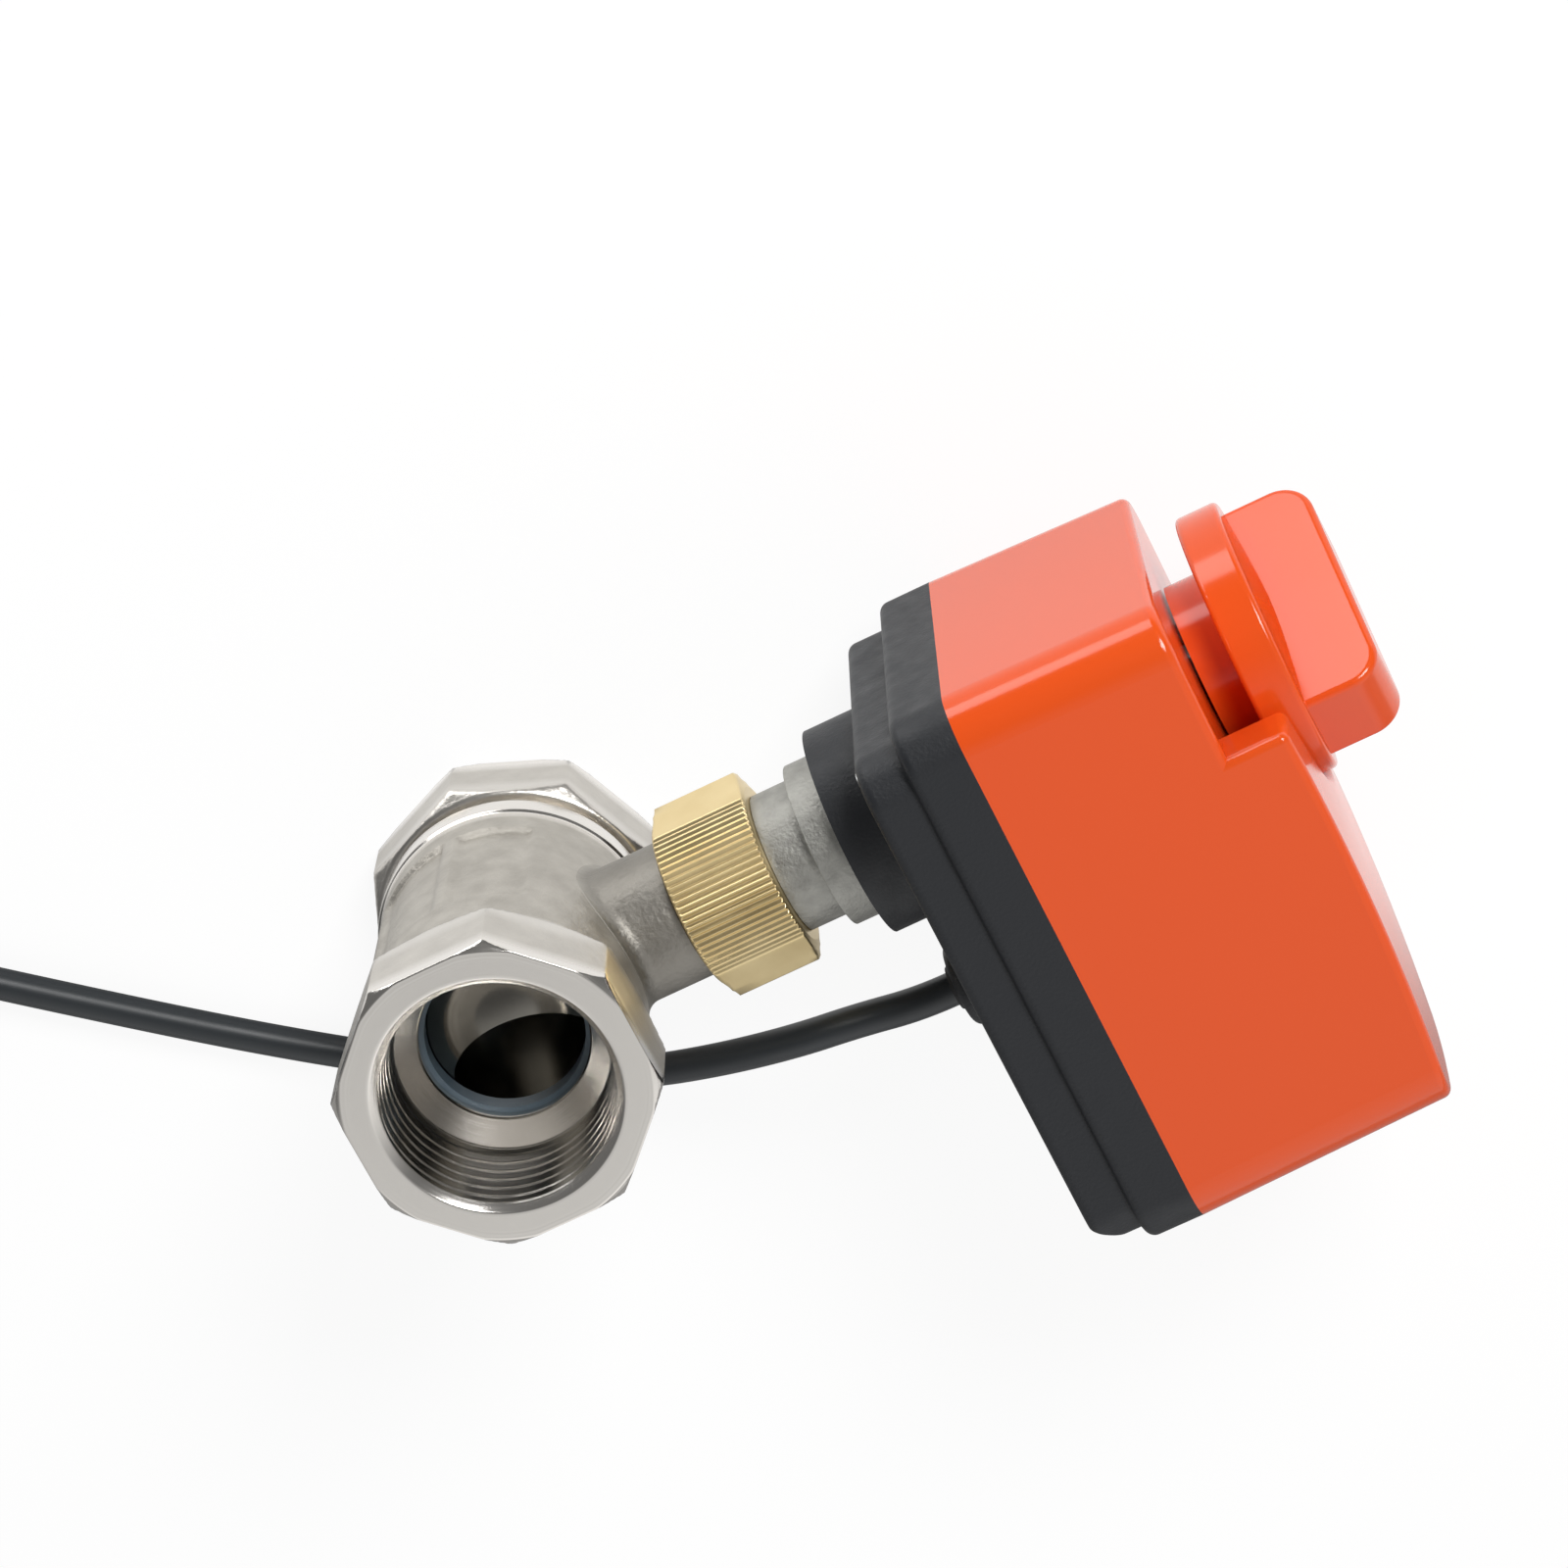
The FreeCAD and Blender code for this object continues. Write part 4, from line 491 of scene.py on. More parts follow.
def conductor_routes(diameter):
    """Points of the three conductors from the jacket's end, spreading as they reach the floor."""
    end = coil_centre(diameter) - OUTWARD * (COIL_RADIUS + COIL_PITCH) - ALONG * diameter
    aside = np.array([ALONG[1], -ALONG[0], 0.0])
    radius, fit = 0.8, 0.05
    spacing = 2 * radius + fit
    fall = np.array([0.0, 0.0, 0.5, 1.0, 1.0])
    ahead = np.array([[0.0], [4.0], [10.0], [17.0], [27.0]])
    routes = []
    for shift in ((-spacing, -spacing, -2.9, -5.2, -9.2), (0.0, 0.0, 0.4, 1.1, 2.7),
                  (spacing, spacing, 3.4, 6.2, 9.0)):
        points = end - ALONG * ahead + aside * np.array(shift)[:, None]
        points[:, 2] = COIL_LOW + (radius + fit - COIL_LOW) * fall
        routes.append(points)
    return routes, radius


def strands(name, start, direction, radius, long):
    """Bundle of seven twisted strands: six circles carried along helices of one turn in 9 mm
    round a straight one, each a tube of ten sides."""
    lay = 9.0
    direction = direction / np.linalg.norm(direction)
    side = np.cross(direction, [0, 0, 1.0])
    side /= np.linalg.norm(side)
    up = np.cross(side, direction)
    thin = radius / 3
    t = np.linspace(0, 1, 15)[:, None]
    ring = once_round(10)
    shells = []
    for number in range(7):
        away = 0.0 if number == 6 else 2 * thin
        turn = number * math.pi / 3 + t * long / lay * 2 * math.pi
        across = away * np.cos(turn) + thin * np.cos(ring)
        above = away * np.sin(turn) + thin * np.sin(ring)
        points = (start + direction * (t * long)[..., None] + side * across[..., None]
                  + up * above[..., None])
        shells.append((points * MM, False))
    return surface(name, shells[0][0], extra=shells[1:])


class MESH_OT_valve_lead(bpy.types.Operator):
    """Lead, its coil and tie, and its three conductors"""
    bl_idname = "mesh.valve_lead"
    bl_label = "Power lead"

    def execute(self, context):
        sizes = context.scene.valve_sizes
        diameter, stripped = sizes.lead_diameter / MM, 7.0
        route = np.vstack([free_route(), coil_turns(diameter)])
        lead = smooth_curve("power_lead_jacket", route, sizes.lead_diameter)
        jacket = jacket_finish(context.scene.valve_colours.jacket)
        finish_piece(lead, jacket, "fixed", ("power_lead", "lead_coil"))
        routes, radius = conductor_routes(diameter)
        copper = steel_finish("stranded_copper", "#B4683F", "#D98E62", 0.32)
        on_cord = ["lead_gland"]
        for points, (tone, dark, light) in zip(routes, CONDUCTORS):
            wire = smooth_curve("conductor_" + tone, points, 2 * radius * MM)
            tip = strands("strands_" + tone, points[-1], points[-1] - points[-2], radius / 2,
                          stripped)
            vinyl = plastic_finish("vinyl_wire_" + tone, dark, light, 0.38)
            first = tone == "brown"
            finish_piece(wire, vinyl, "fixed", ("lead_conductors",) if first else ())
            finish_piece(tip, copper, "fixed", ("conductor_tips",) if first else ())
            on_cord += [wire.name, tip.name]
        tie = make_tie(diameter)
        finish_piece(tie, plastic_finish("nylon_tie", "#1D1E20", "#2A2B2E", 0.4), "fixed",
                     ("lead_tie",))
        on_cord.append(tie.name)
        return {"FINISHED"}


def make_tie(diameter):
    """Flat strap pulled tight round the bundle, with a small locking head on top. Where the strap
    passes, the lead runs through three places: one turn on the floor and two above it. The strap
    is the tight band round three circles there: an arc round each and straight lines between."""
    thick, half_width, edge, fit, slack = 0.7, 3.0, 0.15, 0.05, 0.2
    head_size, head_corner, head_lift = (5.4, 7.4, 3.4), 0.6, 1.35
    near = COIL_RADIUS - 0.75 * COIL_PITCH
    far = near + COIL_PITCH
    low, high = COIL_LOW, COIL_LOW + COIL_RISE
    slope = math.degrees(math.atan2(high - low, far - near)) - 90
    places = ((near - slack, low, 180, 360 + slope), (far, high, slope, 90),
              (near - slack, high, 90, 180))
    inner_radius = diameter / 2 + fit

    def loop(radius):
        arcs = []
        for across, height, first, last in places:
            angle = np.radians(np.linspace(first, last, 13))
            arcs.append(np.stack([across + radius * np.cos(angle),
                                  height + radius * np.sin(angle)], axis=-1))
        return np.vstack(arcs)

    inside, outside = loop(inner_radius), loop(inner_radius + thick)
    side = outside - (outside - inside) * 0.2
    strap = [np.insert(band, 1, width, axis=1) for band, width in (
        (inside, -half_width + edge), (side, -half_width), (outside, -half_width + edge),
        (outside, half_width - edge), (side, half_width), (inside, half_width - edge))]
    top = high + inner_radius + thick
    head = rounded_box(head_size, head_corner) + ((near + far) / 2, 0.0, top + head_lift)
    foot = coil_centre(diameter) * (1, 1, 0)
    axes = np.array([-ALONG, OUTWARD, [0, 0, 1.0]])
    strap, head = ((foot + grid @ axes) * MM for grid in (np.array(strap), head))
    return surface("lead_tie_strap", strap, along=True, extra=[(head, False)])


def rounded_box(size, corner, around=32, up=9):
    """Box with rounded edges as a grid: rounded rectangles of `around` points, drawn in at the
    top and bottom along a quarter circle."""
    angle = once_round(around) + math.pi / around
    lift = np.radians(np.linspace(-90, 90, up))[:, None]
    flat = np.array(size) / 2 - corner
    x = np.sign(np.cos(angle)) * flat[0] + corner * np.cos(lift) * np.cos(angle)
    y = np.sign(np.sin(angle)) * flat[1] + corner * np.cos(lift) * np.sin(angle)
    z = np.sign(lift) * flat[2] + corner * np.sin(lift) + 0 * angle
    return np.stack([x, y, z], axis=-1)


# Ports, valve body and end connector

PORT_RADIUS = 15.15
THROAT_RADIUS = 12.0
THREAD_DEPTH = 16.0
MOUTH_FLARE = 1.2
BARREL_RADIUS = 20.0
HALF_FLATS = 21.0
BEVEL_START = 21.5
BACK_BEVEL_START = 20.6
VALVE_LENGTH = 75.0
NECK_RADIUS = 10.3
# How turned a surface is, from as cast to cut on the lathe
CAST, FACED, SHOULDER, TURNED = 0.0, 0.3, 0.6, 1.0


def angles_round(turn):
    """Angles once round, closer together at the octagon's eight corners."""
    beside, clear = np.array([0.2, 0.6, 1.1, 1.7, 2.6, 4]), 4.6
    corners = 22.5 + turn + 45.0 * np.arange(8)
    even = np.linspace(0, 360, 192, endpoint=False)
    gap = np.abs((even[:, None] - corners + 180) % 360 - 180)
    even = even[gap.min(axis=1) > clear]
    close = corners[:, None] + np.concatenate([-beside, beside])
    return np.radians(np.sort(np.concatenate([even, close.ravel() % 360])))


def octagon_radius(angle, turn, corner):
    """Distance from the axis to an octagon with rounded corners: on a flat it is the half width
    over the cosine of the angle from the flat's middle; at a corner it is the far side of a
    circle of the rounding's radius that touches both flats."""
    from_flat = (np.degrees(angle) - turn + 22.5) % 45 - 22.5
    flat = HALF_FLATS / np.cos(np.radians(from_flat))
    from_corner = np.radians(22.5 - np.abs(from_flat))
    middle = (HALF_FLATS - corner) / math.cos(math.pi / 8)
    inside = np.maximum(corner ** 2 - (middle * np.sin(from_corner)) ** 2, 0)
    arc = middle * np.cos(from_corner) + np.sqrt(inside)
    limit = math.atan2(corner * math.sin(math.pi / 8), middle + corner * math.cos(math.pi / 8))
    return np.where(from_corner < limit, arc, flat)


def thread_rows(angle, pitch, height, bevel):
    """Rows of one port from its mouth inwards, as radius and depth at each angle. The thread's
    radius is the crest's plus a clipped triangle wave of depth over pitch less the turn, so it
    winds, with wide flat crests, on a slight taper; it fades out before the cone below it."""
    rows_a_turn, steepness, crest_share, inset, fade_long = 16, 5.8, 4.4 / 5.8, 0.1, 2.5
    rows = int(THREAD_DEPTH / pitch * rows_a_turn)
    depth = np.linspace(bevel + inset, THREAD_DEPTH - inset, rows)[:, None]
    phase = (depth / pitch - angle / (2 * math.pi)) % 1.0
    wave = np.clip(steepness * (1 - np.abs(2 * phase - 1) - crest_share), 0, 1)
    fade = np.clip((THREAD_DEPTH - 0.8 - depth) / fade_long, 0, 1)
    radius = PORT_RADIUS + MOUTH_FLARE * (1 - depth / THREAD_DEPTH) + height * wave * fade
    return radius, np.broadcast_to(depth, radius.shape)


def outline_rows(angle, turn, corner, long, inner_top, inner_bottom):
    """Rows of an octagon's outside from its front face back: the turned bevel is a cone that
    only cuts the corners, so the outline is the smaller of the octagon and the cone."""
    front_long, back_long = 1.5, 2.1
    eight = octagon_radius(angle, turn, corner)
    radius, depth = [], []

    def row(values, place):
        radius.append(np.broadcast_to(values, angle.shape))
        depth.append(np.full(angle.shape, place))

    front = np.minimum(eight, BEVEL_START)
    for share, place in ((0.55, 0.0), (0.9, 0.0), (0.985, 0.0), (0.996, 0.06)):
        row(inner_top + (front - inner_top) * share, place)
    for place in (0.15, 0.4, 0.7, 1.0, 1.3):
        row(np.minimum(eight, BEVEL_START + place), place)
    for share in (0.25, 0.5, 0.75):
        row(eight, front_long + (long - front_long - back_long) * share)
    for place in (2.2, 1.7, 1.2, 0.8, 0.4, 0.15):
        row(np.minimum(eight, BACK_BEVEL_START + 1.1 * place), long - place)
    back = np.minimum(eight, BACK_BEVEL_START)
    row(back - 0.12, long - 0.03)
    for share in (0.8, 0.4):
        row(inner_bottom + (back - inner_bottom) * share, long)
    return np.array(radius), np.array(depth)


def port_piece(turn, long, tail, sizes):
    """Closed shell of a port: mouth, thread, cone and throat inside, octagon outside, and the
    `tail`, a closed round profile of radius and depth, from the throat back to the octagon.
    The rows of the octagon's face are turned, its sides are faced and its back is a shoulder."""
    bevel = sizes.mouth_bevel / MM
    lip = bevel - MOUTH_FLARE
    rim = PORT_RADIUS + bevel + 0.6
    cone_end = THREAD_DEPTH + PORT_RADIUS - THROAT_RADIUS + 0.3
    angle = angles_round(turn)
    thread = thread_rows(angle, sizes.thread_pitch / MM, sizes.thread_height / MM, lip)
    mouth = softened([(rim, 0.0), (PORT_RADIUS + bevel, 0.0),
                      (PORT_RADIUS + MOUTH_FLARE + 0.05, lip),
                      (PORT_RADIUS + MOUTH_FLARE, lip + 0.1)], 0.25)[:-1]
    cone = softened([(PORT_RADIUS, THREAD_DEPTH - 0.1), (PORT_RADIUS, THREAD_DEPTH + 0.3),
                     (THROAT_RADIUS, cone_end), (THROAT_RADIUS, cone_end + 0.9)], 0.4)
    tail = softened(tail, 0.25)
    outside = outline_rows(angle, turn, sizes.corner_round / MM, long, rim, tail[-1][0])

    def spun(profile):
        ones = np.ones(len(angle))
        return profile[:, :1] * ones, profile[:, 1:] * ones

    parts = [spun(mouth), thread, spun(cone), spun(tail), (outside[0][::-1], outside[1][::-1])]
    radius, depth = (np.vstack([part[k] for part in parts]) for k in (0, 1))
    front = np.full(len(outside[0]), FACED)
    front[:9] = TURNED
    front[-9:] = SHOULDER
    inside = len(mouth) + len(thread[0]) + len(cone) + len(tail)
    turned = np.concatenate([np.full(inside, TURNED), front[::-1]])
    # Painted shade: the thread's rows get a darker tone, standing for the dark inside of the bore
    darkened = np.zeros(len(turned))
    darkened[len(mouth):len(mouth) + len(thread[0])] = 0.25
    return angle, radius, depth, turned, darkened


def place_port(angle, radius, depth, upper):
    """Points of a port round the flow axis, in metres. Depth is measured from its own mouth."""
    z = VALVE_LENGTH - depth if upper else depth
    return np.stack([radius * np.cos(angle), radius * np.sin(angle), z], axis=-1) * MM


def set_finish(piece, grid, turned, darkened, extra_darkened=()):
    """Stores how turned and how darkened each vertex is, and its distance along the profile in
    millimetres. What joins the piece as an extra shell is cast, and darkened as much as the extra
    values give."""
    columns = grid.shape[1]
    steps = np.diff(grid[:, 0] / MM, axis=0)
    track = np.concatenate([[0], np.cumsum(np.linalg.norm(steps, axis=1))])
    extra = np.zeros(len(extra_darkened))
    for name, values, others in (("turned", turned, extra), ("darkened", darkened, extra_darkened),
                                 ("track", track, extra)):
        float_attribute(piece, name, np.concatenate([np.repeat(values, columns), others]))


def cast_panel(angle, z):
    """Height of the barrel's two sunk fields, which lie side by side on the side of the housing's
    short end: each is a product of smooth steps 0.7 mm wide across and along the barrel."""
    step, sunk = 0.7, 0.8
    across = BARREL_RADIUS * np.cos(angle)

    def window(place, low, high):
        inside = np.clip(np.minimum(place - low, high - place) / step, 0, 1)
        return inside * inside * (3 - 2 * inside)

    fields = window(across, -13.6, -1.1) + window(across, 0.9, 11.6)
    return -sunk * fields * window(z, 24.4, 50.8) * (np.sin(angle) > 0)


def neck_shell():
    """Neck on the barrel. The blend where they meet is the path of a ball of 2.5 mm that rolls
    round the corner: its middle stays one ball radius outside both cylinders, and the surface
    is the arc between the two points where it touches them. Then the neck runs out to its
    shoulder and its threaded end, whose radius falls and rises as a triangle wave of the place,
    and back inside as the stem's bore. It starts and ends inside the barrel's wall."""
    ball, bore, shoulder, end = 2.5, 6.25, 28.7, 37.3
    thread_radius, thread_pitch, thread_height, row_gap = 9.75, 1.5, 0.3, 0.16
    in_wall = 0.94
    around = once_round(128)
    y = (NECK_RADIUS + ball) * np.sin(around)
    z = (NECK_RADIUS + ball) * np.cos(around)
    x = np.sqrt((BARREL_RADIUS + ball) ** 2 - y ** 2)
    middle = np.stack([x, y, z], axis=-1)
    to_neck = np.stack([0 * around, -np.sin(around), -np.cos(around)], axis=-1)
    to_barrel = -np.stack([x, y, 0 * x], axis=-1) / (BARREL_RADIUS + ball)
    turn = np.arccos(np.clip(np.sum(to_neck * to_barrel, axis=-1), -1, 1))[:, None]
    rows = []
    for t in np.linspace(0, 1, 9):
        unit = (np.sin((1 - t) * turn) * to_barrel + np.sin(t * turn) * to_neck) / np.sin(turn)
        rows.append(middle + ball * unit)
    rows.insert(0, rows[0] * (in_wall, in_wall, 1.0))
    thread = np.arange(0, end - shoulder, row_gap)
    wave = 2 * thread_height * np.abs(((thread / thread_pitch) % 1.0) - 0.5)
    outer = softened([(NECK_RADIUS, 24.0), (NECK_RADIUS, 28.4), (9.8, 28.5), (9.8, shoulder)], 0.2)
    inner = softened([(9.5, end - 0.1), (9.3, end), (6.4, end), (bore, end - 0.2), (bore, 21.0)],
                     0.2)
    threaded = np.stack([thread_radius - wave, shoulder + thread], axis=-1)
    for radius, place in np.vstack([outer, threaded, inner]):
        rows.append(np.stack([np.full(around.shape, place), radius * np.sin(around),
                              radius * np.cos(around)], axis=-1))
    bore_y = bore * np.sin(around)
    bore_x = np.sqrt((in_wall * BARREL_RADIUS) ** 2 - bore_y ** 2)
    rows.append(np.stack([bore_x, bore_y, bore * np.cos(around)], axis=-1))
    return (np.array(rows) + (0, 0, STEM_Z)) * MM


class MESH_OT_valve_body(bpy.types.Operator):
    """Valve body with its upper port, barrel and neck, and the end connector with the lower port"""
    bl_idname = "mesh.valve_body"
    bl_label = "Valve body"

    def execute(self, context):
        sizes = context.scene.valve_sizes
        nickel = nickel_finish()
        # From the throat: seat pocket, ball chamber, socket of the connector, collar, barrel
        tail = [(THROAT_RADIUS, 20.4), (THROAT_RADIUS, 21.5), (15.85, 21.5), (15.85, 26.5),
                (17.3, 26.5), (17.3, 47.5), (18.45, 47.5), (18.45, 59.9), (18.6, 60.0),
                (20.3, 60.0), (20.5, 59.8), (20.5, 56.4), (20.0, 55.9)]
        tail += [(BARREL_RADIUS, place) for place in np.arange(54.0, 17.0, -0.35)]
        tail += [(BARREL_RADIUS, 14.9), (BARREL_RADIUS + 0.35, 14.5)]
        angle, radius, depth, turned, darkened = port_piece(0.0, 14.5, tail, sizes)
        z = VALVE_LENGTH - depth
        on_barrel = (np.abs(radius - BARREL_RADIUS) < 0.02) & (z > 20) & (z < 58)
        radius = radius + np.where(on_barrel, cast_panel(angle, z), 0)
        turned = np.where(on_barrel.any(axis=1), CAST, turned)
        grid = place_port(angle, radius, depth, True)
        neck = neck_shell()
        body = surface("valve_body_casting", grid, along=True, extra=[(neck, True)])
        # The neck gets the darker tone, less at the start of its blend with the barrel
        neck_darkened = np.interp(np.arange(len(neck)), [0, 6], [0.15, 0.6])
        set_finish(body, grid, turned, darkened, np.repeat(neck_darkened, neck.shape[1]))
        finish_piece(body, nickel, "fixed", ("valve_body",))
        # From the throat: seat pocket, then the spigot that screws into the body's socket
        tail = [(THROAT_RADIUS, 20.4), (THROAT_RADIUS, 21.5), (15.85, 21.5), (15.85, 26.4),
                (15.95, 26.5), (18.3, 26.5), (18.4, 26.4), (18.4, 12.9), (18.6, 12.5)]
        angle, radius, depth, turned, darkened = port_piece(22.5, 12.5, tail, sizes)
        grid = place_port(angle, radius, depth, False)
        end = surface("end_connector_turned", grid, along=True)
        set_finish(end, grid, turned, darkened)
        finish_piece(end, nickel, "fixed", ("end_connector",))
        return {"FINISHED"}


# Union nut

def nut_outline(angle, corner_angle, ribs):
    """Distance from the nut's axis at each angle. Round at 12.7 mm, with cosine ribs 0.42 mm deep;
    towards each of the two corners it follows the flat that touches the round, whose radius is
    12.7 over the cosine of the angle from where they touch, and the ribs end there."""
    round_r, corner_r, corner_off = 12.7, 15.0, 0.45
    depth, fullness, ease = 0.42, 0.8, 0.06
    reach = math.acos(round_r / corner_r)
    away = np.abs((angle - corner_angle + math.pi / 2) % math.pi - math.pi / 2)
    flat = round_r / np.cos(np.clip(reach - away, 0, None))
    rib = depth * (0.5 - 0.5 * np.cos(ribs * (angle - corner_angle))) ** fullness
    rib = rib * np.clip((away - reach) / ease, 0, 1)
    return np.minimum(flat, corner_r - corner_off) - rib


class MESH_OT_valve_nut(bpy.types.Operator):
    """Union nut with its knurl, its two corners and its bevelled ends"""
    bl_idname = "mesh.valve_nut"
    bl_label = "Union nut"

    def execute(self, context):
        ribs, corner_angle = 76, math.radians(160.0)
        start, end, lip, bevel = 28.7, 43.3, 40.4, 1.3
        even = once_round(ribs * 10)
        outline = nut_outline(even, corner_angle, ribs)
        rows = [*softened([(10.6, start + 0.75), (10.9, start), (11.9, start),
                           (12.15, start + 0.12)], 0.2)]
        for place, cone in ((0.2, 12.3), (0.35, 12.5), (0.6, 12.9), (0.9, 13.7), (bevel, 15.2)):
            rows.append((np.minimum(outline, cone), start + place))
        for share in (0.3, 0.6, 0.9):
            rows.append((outline, start + bevel + share * (end - start - 2 * bevel)))
        for place, cone in ((1.0, 15.2), (0.7, 14.2), (0.45, 13.2), (0.3, 12.6), (0.2, 12.4)):
            rows.append((np.minimum(outline, cone), end - place))
        rows += [*softened([(12.1, end - 0.1), (11.9, end), (8.6, end), (8.35, end - 0.25),
                            (8.35, lip), (9.9, lip), (9.9, start + 1.6), (10.6, start + 0.9)],
                           0.15)]
        radius, place = (np.array([row[k] + 0 * even for row in rows]) for k in (0, 1))
        grid = np.stack([place, radius * np.cos(even), STEM_Z + radius * np.sin(even)], axis=-1)
        nut = surface("union_nut_turned", grid * MM, along=True)
        finish_piece(nut, brass_finish(), "nut", ("union_nut",))
        return {"FINISHED"}


# Finishes of the carried-over pieces

class MESH_OT_valve_finishes(bpy.types.Operator):
    """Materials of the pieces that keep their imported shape"""
    bl_idname = "mesh.valve_finishes"
    bl_label = "Finishes"

    def execute(self, context):
        colours = context.scene.valve_colours
        brass = brass_finish()
        orange = orange_finish(colours.cover)
        black = black_finish("moulded_black_nylon", colours.base, 0.5)
        steel = steel_finish("zinc_plated_steel", "#8F9092", "#B4B4B2", 0.34)
        acetal = plastic_finish("moulded_acetal", "#D9D8D2", "#E6E5DF", 0.4)
        rubber = plastic_finish("nitrile_rubber", "#161617", "#212123", 0.6)
        seat = plastic_finish("filled_seat_polymer", "#50606D", "#66757F", 0.35)
        dress(brass, "stem", "packing_gland", "lower_bushing", "upper_bushing", "plate_posts")
        for node, width, material, body, slot in (
                ("adapter", 0.35, zinc_finish(), "fixed", "cast_zinc"),
                ("base", 0.4, black, "fixed", "black_plastic"),
                ("knob", 0.4, orange, "drive_output", "orange_plastic")):
            finish_piece(softened_copy(node, width * MM), material, body, (node,))
        dress(orange, "cover")
        dress(black_finish("moulded_switch_nylon", linear("#1E1F21")[:3], 0.45), "lead_clamp",
              "limit_switch_lower", "limit_switch_upper")
        dress(chrome_finish(), "ball")
        dress(seat, "upper_seat", "lower_seat", "body_joint_seal", "stem_thrust_washer",
              "stem_packing")
        dress(rubber, "stem_seal_rings", "base_gasket", "knob_seal_ring", "lead_gland")
        dress(steel, "locating_pins", "nut_retaining_ring", "adapter_screws", "cover_screws",
              "knob_set_screw", "output_shaft", "idler_pin", "motor_pinion", "motor_screws",
              "plate_screws", "switch_lever_lower", "switch_lever_upper", "switch_screws",
              "board_screws")
        dress(steel_finish("rolled_steel_plate", "#A2A3A3", "#BDBDBB", 0.4), "gear_plate")
        dress(steel_finish("plated_motor_can", "#A9A8A2", "#C4C3BD", 0.3), "drive_motor")
        dress(acetal, "output_gear", "idler_gear", "cam_lower", "cam_upper")
        dress(board_finish(), "circuit_board")
        dress(plastic_finish("terminal_polyamide", "#1E7A3C", "#278D49", 0.4), "terminal_block")
        dress(plastic_finish("capacitor_epoxy", "#B5522A", "#C9642F", 0.35), "capacitor")
        dress(jacket_finish(colours.jacket), "lead_inner_end")
        return {"FINISHED"}


class MESH_OT_valve_inner_wires(bpy.types.Operator):
    """Conductors inside the housing, from the lead's end to the terminals"""
    bl_idname = "mesh.valve_inner_wires"
    bl_label = "Inner wires"

    def execute(self, context):
        terminal_low, terminal_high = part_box("terminal_block")
        start_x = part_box("lead_inner_end")[1].x / MM
        diameter, spacing, lift = 1.6, 1.65, 3.4
        wire_x = (terminal_low.x + terminal_high.x) / 2 / MM
        face_y = terminal_high.y / MM
        terminal_pitch = (terminal_high.z - terminal_low.z) / 3 / MM
        for number, (tone, dark, light) in enumerate(CONDUCTORS):
            start_z = STEM_Z + (number - 1) * spacing
            end_z = STEM_Z + (number - 1) * terminal_pitch
            points = [(start_x, LEAD_Y, start_z), (start_x + lift, LEAD_Y, start_z),
                      (start_x + lift, LEAD_Y - 5.0, start_z), (wire_x, face_y + 4.0, end_z),
                      (wire_x, face_y - 2.0, end_z)]
            wire = smooth_curve("inner_wire_" + tone, points, diameter * MM)
            finish_piece(wire, plastic_finish("inner_vinyl_" + tone, dark, light, 0.38), "fixed",
                         ("inner_conductors",) if number == 0 else ())
        return {"FINISHED"}


# Studio

class MESH_OT_valve_camera(bpy.types.Operator):
    """Camera at the photograph's angle"""
    bl_idname = "mesh.valve_camera"
    bl_label = "Camera"

    def execute(self, context):
        frame_pixels, focal_pixels, sensor = 1600, 4681.9, 36.0
        right = Vector((0.8956, -0.4448, 0.0043)).normalized()
        back = Vector((0.1513, 0.3137, 0.9374)).normalized()
        up = back.cross(right).normalized()
        right = up.cross(back).normalized()
        data = bpy.data.cameras.new("studio_camera")
        data.sensor_width = sensor
        data.lens = focal_pixels / frame_pixels * sensor
        data.clip_start, data.clip_end = 0.02, 20.0
        camera = placed("studio_camera", data)
        turn = Matrix((right, up, back)).transposed().to_4x4()
        camera.matrix_world = Matrix.Translation((0.1465, 0.2130, 0.6424)) @ turn
        context.scene.camera = camera
        return {"FINISHED"}


def area_lamp(name, place, target, size, power):
    """Rectangular lamp that faces its target. The size is its width and height in metres."""
    data = bpy.data.lights.new(name, "AREA")
    data.shape = "RECTANGLE"
    data.size, data.size_y = size
    data.energy = power
    lamp = placed(name, data)
    lamp.location = place
    lamp.rotation_mode = "QUATERNION"
    lamp.rotation_quaternion = (Vector(place) - Vector(target)).to_track_quat("Z", "Y")


